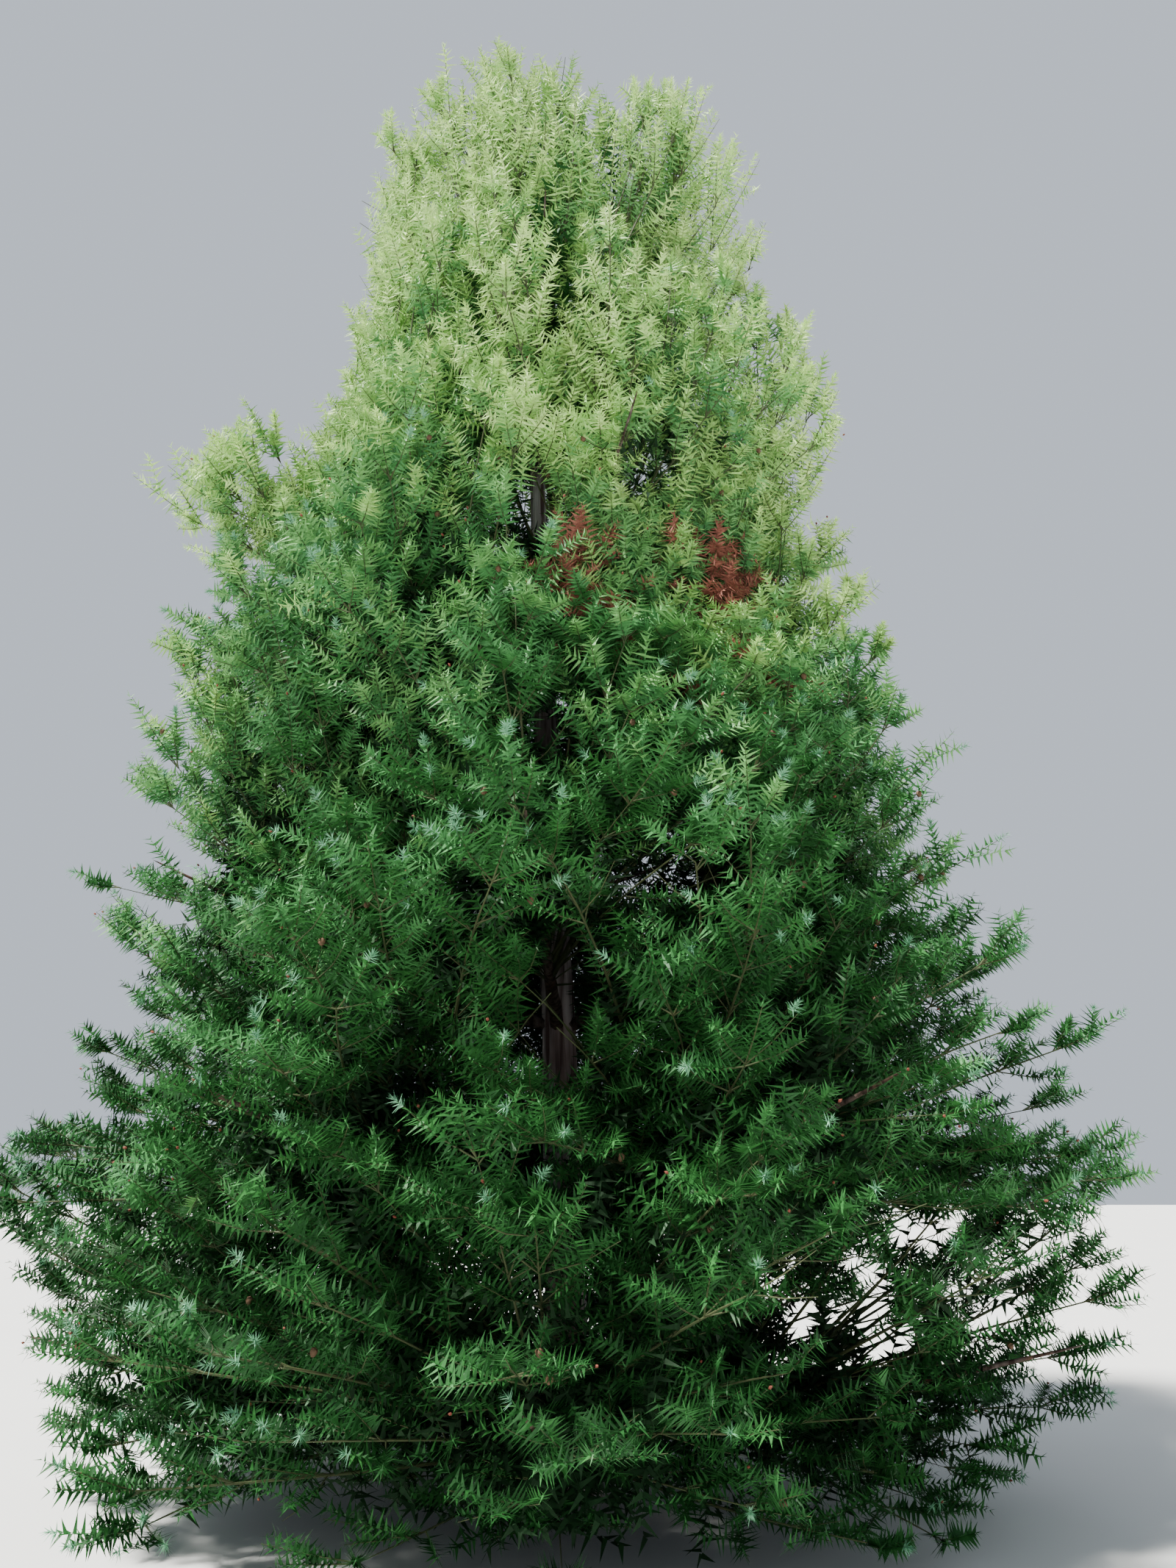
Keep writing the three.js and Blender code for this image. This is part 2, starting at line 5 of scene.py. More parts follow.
import bpy
import numpy as np
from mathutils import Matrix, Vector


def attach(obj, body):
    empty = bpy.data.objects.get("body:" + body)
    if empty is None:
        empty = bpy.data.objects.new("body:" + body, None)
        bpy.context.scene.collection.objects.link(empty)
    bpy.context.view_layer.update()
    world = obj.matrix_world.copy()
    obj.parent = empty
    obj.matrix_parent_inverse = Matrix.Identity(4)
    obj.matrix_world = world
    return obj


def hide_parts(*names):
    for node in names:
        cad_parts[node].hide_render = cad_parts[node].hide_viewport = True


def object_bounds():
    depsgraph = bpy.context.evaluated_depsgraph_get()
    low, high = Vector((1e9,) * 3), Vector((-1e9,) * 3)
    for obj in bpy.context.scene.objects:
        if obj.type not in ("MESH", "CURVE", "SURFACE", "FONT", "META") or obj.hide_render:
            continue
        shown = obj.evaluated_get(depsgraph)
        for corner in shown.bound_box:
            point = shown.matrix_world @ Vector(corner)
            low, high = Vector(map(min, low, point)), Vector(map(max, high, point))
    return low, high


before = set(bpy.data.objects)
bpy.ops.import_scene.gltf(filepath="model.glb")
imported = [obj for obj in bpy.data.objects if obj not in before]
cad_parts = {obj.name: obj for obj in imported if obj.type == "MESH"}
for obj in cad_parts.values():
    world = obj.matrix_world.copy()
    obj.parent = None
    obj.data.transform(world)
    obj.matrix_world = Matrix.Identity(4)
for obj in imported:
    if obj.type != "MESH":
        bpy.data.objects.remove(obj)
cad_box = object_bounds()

# The trunk
# One stem of soft fibrous bark, mauve-grey where it is weathered and red-brown in the furrows between
# its peeling strips. It leans slowly over to the left and stands on a low ridged flare.
TRUNK_HEIGHT = 7.75
TRUNK_RADIUS = 0.125
TRUNK_TIP_RADIUS = 0.01
TRUNK_TAPER = 0.7
TRUNK_LEAN = 0.26
FLARE = 0.55
FLARE_HEIGHT = 0.18
FLARE_RIDGES = 5
FLARE_RIDGE_SHARE = 0.25
HEAD_TIP = 9.15
LEADER_RADIUS = 0.012
TRUNK_SIDES = 96
TRUNK_RINGS = 460
RING_CROWDING = 1.25
FURROW_DEPTH = 0.0085
STRIP_WIDTH = 0.022
STRIP_LENGTH = 0.42
FIBRE_SHARE = 0.3
STRIP_LIFT = 0.8
STRIP_FROM = 0.36
STRIP_EDGE = 0.2
UP = np.array([0.0, 0.0, 1.0])


def scatter(index, salt):
    """A repeatable number between 0 and 1: the fraction of a large multiple of the sine of both."""
    value = np.sin(np.asarray(index, float) * 12.9898 + salt * 78.233) * 43758.5453
    return value - np.floor(value)


def swing(index, salt, width):
    """A repeatable number, up to half the width below or above 0."""
    return width * (scatter(index, salt) - 0.5)


def smooth(share):
    """Smoothstep: 0 below 0, 1 above 1, and level at both ends."""
    share = np.clip(share, 0.0, 1.0)
    return share * share * (3 - 2 * share)


def grain(points, salt):
    """Smooth noise between 0 and 1: a number for each corner of a unit cube, blended across the cube."""
    cell = np.floor(points)
    share = smooth(points - cell)
    total = np.zeros(points.shape[:-1])
    for corner in range(8):
        step = np.array([corner & 1, corner >> 1 & 1, corner >> 2 & 1], float)
        weight = np.prod(np.where(step > 0, share, 1 - share), axis=-1)
        total += weight * scatter((cell + step) @ np.array([1.0, 57.0, 131.0]), salt)
    return total


def trunk_axis(height):
    """The trunk's axis: it moves to -X by the lean times a smoothstep of the height."""
    lean = -TRUNK_LEAN * smooth(height / TRUNK_HEIGHT)
    return np.stack([lean, np.zeros_like(height), height], axis=-1)


def trunk_radius(height):
    """The radius shrinks from the foot to the tip by a power of what is left, then stays a thin leader."""
    share = np.clip(1 - height / TRUNK_HEIGHT, 0, 1)
    return TRUNK_TIP_RADIUS + (TRUNK_RADIUS - TRUNK_TIP_RADIUS) * share**TRUNK_TAPER


def shown(name, data):
    """An object in the scene for a mesh, a light or a camera."""
    made = bpy.data.objects.new(name, data)
    bpy.context.scene.collection.objects.link(made)
    return made


def piece(name, points, faces, finish, slot, replaced=(), soft=True):
    """A mesh from an array of points and an array of faces with as many corners each, on the tree."""
    faces = np.asarray(faces, np.int32)
    mesh = bpy.data.meshes.new(name)
    mesh.vertices.add(len(points))
    mesh.vertices.foreach_set("co", np.ascontiguousarray(points, np.float32).ravel())
    mesh.loops.add(faces.size)
    mesh.loops.foreach_set("vertex_index", faces.ravel())
    mesh.polygons.add(len(faces))
    mesh.polygons.foreach_set("loop_start", np.arange(len(faces), dtype=np.int32) * faces.shape[1])
    mesh.polygons.foreach_set("use_smooth", np.full(len(faces), soft))
    mesh.update(calc_edges=True)
    mesh.materials.append(finish)
    made = shown(name, mesh)
    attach(made, "root")
    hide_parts(*replaced)


def ring_faces(limbs, rings, sides):
    """Quads between the rings of tubes whose points are numbered by limb, then ring, then side."""
    limb, ring, side = np.meshgrid(np.arange(limbs), np.arange(rings - 1), np.arange(sides), indexing="ij")
    start = (limb * rings + ring) * sides
    beside = (side + 1) % sides
    quads = np.stack([start + side, start + beside, start + sides + beside, start + sides + side], axis=-1)
    return quads.reshape(-1, 4)


def node(tree, kind, settings, values, output=0):
    """A node of that kind: its settings first, then a value or a link for each socket. Gives one output."""
    made = tree.nodes.new(kind)
    for name, value in settings.items():
        setattr(made, name, value)
    for name, value in values.items():
        if isinstance(value, bpy.types.NodeSocket):
            tree.links.new(value, made.inputs[name])
        else:
            made.inputs[name].default_value = value
    return made.outputs[output]


def noise(tree, stretch, detail):
    """Noise on the object's own coordinates, its size along X, Y and Z set by the stretch."""
    place = tree.nodes.new("ShaderNodeTexCoord").outputs["Object"]
    spread = node(tree, "ShaderNodeMapping", {}, {"Vector": place, "Scale": stretch})
    return node(tree, "ShaderNodeTexNoise", {}, {"Vector": spread, "Scale": 1.0, "Detail": detail})


def scaled(signal, by, plus=0.0):
    """A node's output times a number, plus a number or another output."""
    return node(signal.id_data, "ShaderNodeMath", {"operation": "MULTIPLY_ADD"}, {0: signal, 1: by, 2: plus})


def step_up(signal, low, high):
    """From 0 to 1 while a node's output runs from one value to another."""
    values = {"Value": signal, "From Min": low, "From Max": high}
    return node(signal.id_data, "ShaderNodeMapRange", {}, values)


def mixed(share, first, second):
    """A colour between two colours, by a share. The Mix node's colour sockets are known by number, because
    their names are used for other types as well."""
    values = {0: share}
    for socket, value in ((6, first), (7, second)):
        values[socket] = value if isinstance(value, bpy.types.NodeSocket) else (*value, 1.0)
    return node(share.id_data, "ShaderNodeMix", {"data_type": "RGBA"}, values, 2)


def finish_named(name, roughness, specular):
    """A material and its node tree, with the roughness and the gloss set on its shader."""
    made = bpy.data.materials.new(name)
    made.use_nodes = True
    shader = made.node_tree.nodes["Principled BSDF"]
    shader.inputs["Roughness"].default_value = roughness
    shader.inputs["Specular IOR Level"].default_value = specular
    return made, made.node_tree


def painted(made, colour, height=None, strength=0.0, distance=0.0):
    """The material with its colour linked to the shader, and with a bump where a height is given."""
    tree = made.node_tree
    shader = tree.nodes["Principled BSDF"]
    tree.links.new(colour, shader.inputs["Base Color"])
    if height is not None:
        values = {"Height": height, "Strength": strength, "Distance": distance}
        tree.links.new(node(tree, "ShaderNodeBump", {}, values), shader.inputs["Normal"])
    return made


def bark_finish(name, weathered, fresh, furrow, along):
    """Fibrous bark: long streaks of fresh and weathered bark, dark in the furrows, with a fibrous bump."""
    made, tree = finish_named(name, 0.9, 0.2)
    streaks = noise(tree, (34.0, 34.0, along), 5.0)
    patches = noise(tree, (5.0, 5.0, 1.3), 3.0)
    fibres = noise(tree, (150.0, 150.0, 3 * along), 6.0)
    colour = mixed(step_up(patches, 0.38, 0.6), fresh, weathered)
    colour = mixed(step_up(streaks, 0.4, 0.62), furrow, colour)
    colour = mixed(scaled(fibres, 0.55), colour, furrow)
    return painted(made, colour, scaled(fibres, 0.5, streaks), strength=0.7, distance=0.006)


def trunk_surface():
    """The trunk as a grid of height and angle. Strips of bark, as wide and long as the strip sizes, stand
    out of the furrows between them: the radius rises by the depth times a steep step of noise."""
    share = np.linspace(0, 1, TRUNK_RINGS)[:, None]
    turn = np.linspace(0, 2 * math.pi, TRUNK_SIDES, endpoint=False)[None, :]
    height = HEAD_TIP * share**RING_CROWDING + 0 * turn
    ridge = 1 + FLARE_RIDGE_SHARE * np.cos(FLARE_RIDGES * turn)
    radius = trunk_radius(height) * (1 + FLARE * ridge * np.exp(-height / FLARE_HEIGHT))
    above = np.clip((height - TRUNK_HEIGHT) / (HEAD_TIP - TRUNK_HEIGHT), 0, 1)
    radius = np.where(above > 0, LEADER_RADIUS * (1 - 0.8 * above), radius)
    around = np.stack([np.cos(turn) + 0 * height, np.sin(turn) + 0 * height, 0 * height], axis=-1)
    spot = around * 0.11
    spot[..., 2] = height
    strips = grain(spot / [STRIP_WIDTH, STRIP_WIDTH, STRIP_LENGTH], 3)
    fibres = grain(spot / [STRIP_WIDTH / 3, STRIP_WIDTH / 3, STRIP_LENGTH / 3], 4)
    relief = smooth((strips - STRIP_FROM) / STRIP_EDGE) - STRIP_LIFT + FIBRE_SHARE * (fibres - 0.5)
    depth = FURROW_DEPTH * np.minimum(1, radius / TRUNK_RADIUS)
    points = trunk_axis(height) + around * (radius + depth * relief)[..., None]
    return points.reshape(-1, 3), ring_faces(1, TRUNK_RINGS, TRUNK_SIDES)


trunk_bark = bark_finish("trunk_bark", (0.74, 0.68, 0.68), (0.42, 0.31, 0.29), (0.12, 0.075, 0.07), 1.7)
piece("trunk_bark", *trunk_surface(), trunk_bark, "bark", ["trunk"])


# The boughs
# Six tiers of limbs that rise more steeply the higher they stand, a second leader, one dead bough and two
# bare ones. Each grows out of the trunk and runs on, thinner and thinner, to the end of its own foliage.
CROWN_HEIGHT = 9.45
WIDEST_HEIGHT = 1.4
WIDEST_REACH = 3.25
FLANK_TOP = 8.0
FLANK_TOP_REACH = 1.45
FLANK_CURVE = 1.25
SHOULDER_HEIGHT = 7.6
SKIRT_DEPTH = 1.9
HEAD_SHIFT = 0.13
HEAD_SHIFT_FROM = 5.0
HEAD_SHIFT_RISE = 1.5
LEAST_VIGOUR = 0.93
VIGOUR_SPAN = 0.09
UPTURN = 0.2
UPTURN_LENGTH = 2.5
DROOP = 0.12
DROOP_SLOPE = 0.13
BOUGH_SHARE = 0.38
BOUGH_TAPER = 0.52
BOUGH_SIDES = 14
BOUGH_RINGS = 56
BOUGH_TIP_RADIUS = 0.003
BOUGH_END = 0.88
BOUGH_KNOTS = 20
KNOT_SHARE = 0.34
MOST_REACH = 4.0
REACH_STEPS = 201

# The height where a tier leaves the trunk, its rise by reach, its boughs, its first azimuth, the boughs'
# radius, and the angle kept free of green boughs, in degrees and centred on the first azimuth.
TIERS = [
    (0.25, 0.22, 5, -56, 0.044, 0),
    (1.3, 0.27, 5, -20, 0.042, 0),
    (2.4, 0.38, 5, -128, 0.038, 0),
    (3.6, 0.52, 4, -62, 0.034, 44),
    (4.7, 0.56, 4, -205, 0.03, 0),
    (6.25, 0.95, 3, 5, 0.026, 90),
]

# The main head's floor, as a tier's first two values. Then the bough with a tongue: its tier and number, how
# far the tongue reaches out of the crown, its top and how softly it ends there.
HEAD_TIER = (7.6, 1.05)
LONG_BOUGH = (4, 0, 0.8)
LONG_TOP = 5.9
LONG_FADE = 0.6

# The second leader: its foot's height, its slope as far as its end out, its lean above, its tip's height. The
# dead bough: its tier, azimuth and half its angle in degrees, its vigour, its foliage's start, its radius.
# Each bare bough: its height, slope, azimuth in degrees, length and radius.
LEADER_TURN = math.radians(5)
LEADER = {"base": 6.25, "slope": 2.1, "end": 0.62, "lean": 0.16, "tip": 8.65, "radius": 0.03, "thin": 0.002}
DEAD = (3, -62, 22, 0.86, 0.78, 0.017)
BARE = [(3.25, -0.03, -42, 1.15, 0.016), (2.05, 0.05, -33, 1.35, 0.015)]
LEADER_THINNING = 0.85
BARE_THINNING = 0.75
HEAD_WEDGE = math.radians(45)
HEAD_SPLIT = 0.28


def crown_reach(height, azimuth):
    """How far the crown reaches: a flank that narrows upwards by a power, a domed head and a rounded skirt,
    each the root of one less a square, and a head that is wider towards +X."""
    climb = np.clip((FLANK_TOP - height) / (FLANK_TOP - WIDEST_HEIGHT), 0, 1)
    flank = FLANK_TOP_REACH + (WIDEST_REACH - FLANK_TOP_REACH) * climb**FLANK_CURVE
    over = np.maximum(0, (height - SHOULDER_HEIGHT) / (CROWN_HEIGHT - SHOULDER_HEIGHT))
    under = np.maximum(0, (WIDEST_HEIGHT - height) / SKIRT_DEPTH)
    dome = np.sqrt(np.maximum(0, 1 - over**2))
    skirt = np.sqrt(np.maximum(0, 1 - under**2))
    shift = HEAD_SHIFT * smooth((height - HEAD_SHIFT_FROM) / HEAD_SHIFT_RISE)
    return flank * dome * skirt * (1 + shift * np.cos(azimuth))


def bough_height(base, slope, out):
    """A bough's height at a distance from the trunk: its base and its slope, steeper as it goes."""
    return base + slope * out * (1 - UPTURN + UPTURN * out / UPTURN_LENGTH)


def floor_height(base, slope, out):
    """The surface under a tier's foliage, which droops more and more below its boughs."""
    return bough_height(base, slope, out) - DROOP - DROOP_SLOPE * out


def point_at(out, azimuth, height):
    """A point by its distance from the trunk's axis, its azimuth and its height."""
    away = np.stack([np.cos(azimuth) * out, np.sin(azimuth) * out, np.zeros_like(out)], axis=-1)
    return trunk_axis(height) + away


def green_places():
    """Each green bough's place and, last, the dead one's: its tier's base and slope and the next tier's, its
    azimuth, half its angle, its vigour, its tongue, where its foliage starts, and its radius."""
    places = []
    for level, (base, slope, boughs, turn, radius, kept) in enumerate(TIERS):
        above = TIERS[level + 1][:2] if level + 1 < len(TIERS) else HEAD_TIER
        angle = (360 - kept) / boughs
        for i in range(boughs):
            azimuth = math.radians(turn + kept / 2 + angle * (i + 0.5))
            extra = LONG_BOUGH[2] if (level, i) == LONG_BOUGH[:2] else 0.0
            vigour = LEAST_VIGOUR + VIGOUR_SPAN * float(scatter(len(places), 1))
            middle = bough_height(base, slope, WIDEST_REACH / 2)
            start = BOUGH_SHARE * float(crown_reach(np.array(middle), azimuth))
            half = math.radians(angle / 2)
            places.append((base, slope, *above, azimuth, half, vigour, extra, start, radius))
    level, turn, half, vigour, start, radius = DEAD
    own, above = TIERS[level][:2], TIERS[level + 1][:2]
    places.append((*own, *above, math.radians(turn), math.radians(half), vigour, 0.0, start, radius))
    return np.array(places).T


BASE, SLOPE, OVER_BASE, OVER_SLOPE, AZIMUTH, HALF, VIGOUR, EXTRA, START, RADIUS = green_places()
GREENS = len(BASE) - 1
SECOND_HEAD = len(BASE)
MAIN_HEAD = len(BASE) + 1


def turn_between(start, end):
    """The turn from one azimuth to another, between minus and plus half a turn."""
    return np.arctan2(np.sin(end - start), np.cos(end - start))


def reach_of(owner, height, azimuth):
    """The crown's reach times a place's vigour, with the long bough's tongue added near its own azimuth."""
    aside = np.clip(np.abs(turn_between(AZIMUTH[owner], azimuth)) / HALF[owner], 0, 1)
    tongue = EXTRA[owner] * (1 - aside**2) ** 3 * (1 - smooth((height - LONG_TOP) / LONG_FADE))
    return crown_reach(height, azimuth) * VIGOUR[owner] + tongue


def place_end(owner):
    """How far a place's own bough gets before it leaves the crown, by steps of the same small length."""
    out = np.linspace(0, MOST_REACH, REACH_STEPS)
    own = owner[:, None]
    within = out < reach_of(own, bough_height(BASE[own], SLOPE[own], out), AZIMUTH[own])
    return out[np.argmin(within, axis=1)]


def leader_point(rise):
    """A point of the second leader by its rise above its foot: it slopes out, then leans on and up."""
    leaning = LEADER["end"] + (rise - LEADER["slope"] * LEADER["end"]) * LEADER["lean"]
    return point_at(np.minimum(rise / LEADER["slope"], leaning), LEADER_TURN, LEADER["base"] + rise)


def unit(vectors):
    """Vectors of length one."""
    return vectors / np.maximum(1e-9, np.linalg.norm(vectors, axis=-1, keepdims=True))


def frames(ahead, upright=0.97):
    """For each direction, the level one square to it and the lifting one square to both. A direction that is
    nearly upright gets a level one along X."""
    across = np.where(np.abs(ahead[..., 2:]) > upright, [0.0, 1.0, 0.0], UP)
    level = unit(np.cross(ahead, across))
    return level, np.cross(level, ahead)


def tubes(paths, radii, sides):
    """Round limbs along paths: each ring lies square to its path. A radius is for a ring or for a point."""
    level, lift = frames(unit(np.gradient(paths, axis=1)), upright=0.9)
    turn = np.linspace(0, 2 * math.pi, sides, endpoint=False)
    radii = radii[..., None, None] if radii.ndim == 2 else radii[..., None]
    around = level[:, :, None] * np.cos(turn)[:, None] + lift[:, :, None] * np.sin(turn)[:, None]
    points = paths[:, :, None] + around * radii
    return points.reshape(-1, 3), ring_faces(len(paths), paths.shape[1], sides)


def bough_paths():
    """Each bough's line from inside the trunk to its end, and its radius: the bough's own taper as far as
    its foliage, then down to a twig's."""
    share = np.linspace(0, 1, BOUGH_RINGS)
    end = BOUGH_END * place_end(np.arange(len(BASE)))
    out = end[:, None] * share
    paths = [point_at(out, AZIMUTH[:, None], bough_height(BASE[:, None], SLOPE[:, None], out))]
    inner = np.clip(out / START[:, None], 0, 1)
    outer = np.clip((out - START[:, None]) / (end - START)[:, None], 0, 1)
    own = RADIUS[:, None] * (1 - (1 - BOUGH_TAPER) * inner)
    radii = [own * (1 - outer) ** 0.8 + BOUGH_TIP_RADIUS]
    paths.append(leader_point(share * (LEADER["tip"] - LEADER["base"]))[None])
    radii.append((LEADER["radius"] * (1 - LEADER_THINNING * share) + LEADER["thin"])[None])
    for base, slope, turn, far, radius in BARE:
        out = far * share
        bend = 0.03 * np.sin(7 * share + turn)
        paths.append(point_at(out, math.radians(turn), base + slope * out + bend)[None])
        radii.append((radius * (1 - BARE_THINNING * share))[None])
    return np.concatenate(paths), np.concatenate(radii)


def bough_relief(count):
    """How uneven each point of a bough's rings is: noise round it and along it. The last ring is closed."""
    turn = np.linspace(0, 2 * math.pi, BOUGH_SIDES, endpoint=False)
    along = np.linspace(0, BOUGH_KNOTS, BOUGH_RINGS)[None, :, None]
    limb = np.arange(count)[:, None, None] * 7.0
    around = [2.4 * np.cos(turn) + limb, 2.4 * np.sin(turn)]
    knots = np.stack(np.broadcast_arrays(*around, along), axis=-1)
    closed = np.ones(BOUGH_RINGS)
    closed[-1] = 0.02
    return (1 + KNOT_SHARE * (grain(knots, 5) - 0.5)) * closed[:, None]


limb_paths, limb_radii = bough_paths()
bough_radii = limb_radii[..., None] * bough_relief(len(limb_paths))
bough_nodes = [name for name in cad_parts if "bough" in name or name == "second_leader"]
bough_bark = bark_finish("bough_bark", (0.17, 0.135, 0.12), (0.13, 0.07, 0.045), (0.03, 0.018, 0.014), 14.0)
piece("boughs", *tubes(limb_paths, bough_radii, BOUGH_SIDES), bough_bark, "bark", bough_nodes)


# The twigs
# Limbs fork from each bough and each leader to every part of its space, and branchlets stand in whorls along
# them. They are thin, green-brown and smooth, and turn forwards and up at their ends.
FORKS = [25, 25, 25, 25, 25, 21]
TIP_REACH = 0.7
LUMP_REACH = 0.18
CHANCE_REACH = 0.08
WALL_REACH = 1.1
WALL_OVERLAP = 0.22
TIER_OVERLAP = 0.12
TIER_RISE = 0.28
TOP_MARGIN = 0.1
FOOT_NEAREST = 0.04
FOOT_SPREAD = 0.62
EVEN_STEPS = (0.7549, 0.5698)
SETTLING_STEPS = 6
FORK_RINGS = 9
FORK_SIDES = 4
FORK_RADIUS = 0.011
FORK_THICKNESS = 0.62
FORK_LENGTHS = (0.6, 2.0)
FORK_TIP_SHARE = 0.22
FORK_BEND = 0.45
EARLY_RISE = 0.9

# The short limbs that fill each place along its walls, the long bough's own, and the dead bough's, with the
# parts of its place that still carry sprays: each from one share across it to another, and the same up it.
FILL_FORKS = 5
FILL_REACH = 0.6
FILL_FROM = 0.7
FILL_WIDTH = 0.3
LONG_FORKS = 12
LONG_FROM = 100
LONG_SPREAD = 0.3
DEAD_FORKS = 54
DEAD_CLUSTERS = [(-1.0, -0.62, 0.2, 0.62), (0.25, 0.9, 0.0, 0.75)]

# The limbs of the second head and of the main one: how many, the lowest tip, the span of the tips and its
# power, and how far a foot is below its tip, at the leader and for each metre out.
HEAD_FORKS = [40, 44]
HEAD_TIPS = [(6.75, 2.6, 0.85), (7.85, 1.5, 0.8)]
HEAD_FEET = [(0.45, 0.35), (0.3, 0.5)]
MAIN_FEET_SPAN = (7.2, 9.0)
HEAD_REACH = 0.76
HEAD_CHANCE = 0.22
HEAD_OVERLAP = 0.15
CORE_FROM = 0.45
CORE_SHARE = 0.42
MAIN_EXTRA = 0.3
HEAD_SPREAD = 0.055
HEAD_SPREAD_FROM = 6.6
NOTCH_DEPTH = 1.15
NOTCH_WIDTH = 0.22
NOTCH_PLACE = 0.52
SECOND_LOWER = 0.7
SHOULDER_LOWER = 0.35
SHOULDER_FROM = 0.4
SHOULDER_WIDTH = 0.5
FRONT_LOWER = 0.35

# The branchlets: their whorls along a limb and, for the five of a whorl, the turns round the limb and the
# angles to it in degrees, low down and high up. The last of the five leads on.
MOST_WHORLS = 5
WHORL_SPACING = 0.27
WHORLS_FROM = 0.36
FLAT_TURNS = [[2, 178, 22, 158, 0], [-12, 192, 10, 170, 0]]
ROUND_TURNS = [[8, 172, 62, 118, 0], [-28, 208, 38, 142, 0]]
FLAT_ANGLES = [64, 64, 36, 36, 3]
ROUND_ANGLES = [44, 44, 38, 38, 3]
TURN_SWING = 34
ANGLE_SWING = 18
FLATTEST = 0.6
FLAT_BELOW = 5.4
FLAT_BLEND = 3.4
LEADING_LENGTH = 0.42
SIDE_LENGTH = 0.3
BEND_SHARES = (0.88, 0.16, 0.1)
SHRINK_STEPS = 5
SHRINK = 0.8
LEAST_BRANCHLET = 0.12
BRANCHLET_RINGS = 3
BRANCHLET_SIDES = 3
BRANCHLET_RADIUS = 0.0042
BRANCHLET_TIP_SHARE = 0.3
BOX_SLACK = 0.03
GOLDEN_TURN = 2.39996

# The lumps and hollows of the crown's surface, and its large gaps: azimuth in degrees and height, half the
# angle and the height, and the depth. A negative depth is a bulge.
LUMP_SIZE = 0.75
LUMP_SHARE = 1.3
HOLLOW = 0.84
GAPS = [
    (-57, 7.3, 16, 0.42, 0.5),
    (-60, 5.3, 14, 0.25, 0.3),
    (-115, 6.3, 8, 0.25, 0.3),
    (-125, 3.2, 10, 0.3, 0.3),
    (-5, 5.5, 30, 0.4, -0.18),
]

# Where the foliage is open: the height on the trunk, the offset to the side, half the opening's width and
# height, how far it reaches behind the trunk, how open it is, and how ragged. Three show the trunk, one a
# bare bough, and the last is the thin low part on the right.
EYE = (0.115, -7.0, 1.6)
RIM_SIZE = 0.14
WINDOWS = [
    (2.5, 0.02, 0.15, 0.42, 0.05, 1.0, 0.6),
    (4.32, 0.02, 0.11, 0.12, 0.05, 1.0, 0.6),
    (5.96, 0.0, 0.1, 0.2, 0.05, 1.0, 0.6),
    (3.3, 0.75, 0.42, 0.06, -0.35, 1.0, 0.6),
    (0.85, 1.85, 1.0, 0.52, 3.5, -0.45, 1.9),
]


def in_window(points):
    """Whether points lie in a window: an oval that narrows towards the eye and widens behind the trunk. Its
    rim moves in and out by noise, which cuts a very ragged window up into many small ones."""
    found = np.zeros(points.shape[:-1], bool)
    for height, offset, half_width, half_height, behind, open_share, ragged in WINDOWS:
        start = trunk_axis(np.array(height)) + [offset, 0, 0]
        sight = np.array(EYE) - start
        far = np.linalg.norm(sight)
        along = (points - start) @ (sight / far)
        aside = points - start - along[..., None] * (sight / far)
        aside = aside * [1, 0, 1] / np.maximum(1 - along / far, 0.05)[..., None]
        oval = (aside[..., 0] / half_width) ** 2 + (aside[..., 2] / half_height) ** 2
        rim = open_share + ragged * (2 * grain(aside / RIM_SIZE, 43) - 1)
        found |= (oval < rim) & (along > -behind)
    return found


def lump_at(points):
    """Between 0 in a hollow and 1 on a lump of the crown's surface, by noise of the lump size."""
    return smooth(grain(points / LUMP_SIZE, 27) * 1.8 - 0.4)


def gap_share(height, azimuth):
    """What the large gaps in the crown leave of its reach: each takes its depth, by a bell curve."""
    left = np.ones_like(height)
    for turn, middle, half_turn, half_height, depth in GAPS:
        aside = turn_between(math.radians(turn), azimuth) / math.radians(half_turn)
        left = left - depth * np.exp(-(aside**2) - ((height - middle) / half_height) ** 2)
    return left


def main_reach(azimuth):
    """How much further than the crown the main head reaches: most on the side away from the second head."""
    return 1 + MAIN_EXTRA * np.maximum(0, -np.cos(azimuth))


def head_top(crossing, depth):
    """The height of the top by the way across the two heads and from front to back: the whole height less
    a rounded notch, lower beyond it and on the far shoulder, and there lowest at the front."""
    notch = NOTCH_DEPTH * np.exp(-(((crossing - NOTCH_PLACE) / NOTCH_WIDTH) ** 2))
    second = smooth((crossing - NOTCH_PLACE) / NOTCH_WIDTH)
    shoulder = smooth((-crossing - SHOULDER_FROM) / SHOULDER_WIDTH)
    front = FRONT_LOWER * np.maximum(0, -depth) * (second + shoulder)
    return CROWN_HEIGHT - notch - SECOND_LOWER * second - SHOULDER_LOWER * shoulder - front


def around_trunk(points):
    """How far points lie from the trunk's axis, and their azimuth."""
    away = points - trunk_axis(points[..., 2])
    return np.hypot(away[..., 0], away[..., 1]), np.arctan2(away[..., 1], away[..., 0])


def in_box(points):
    """Whether points lie in the solids' own box, with a little slack."""
    low, high = np.array(cad_box[0]) - BOX_SLACK, np.array(cad_box[1]) + BOX_SLACK
    return np.all((points > low) & (points < high), axis=-1)


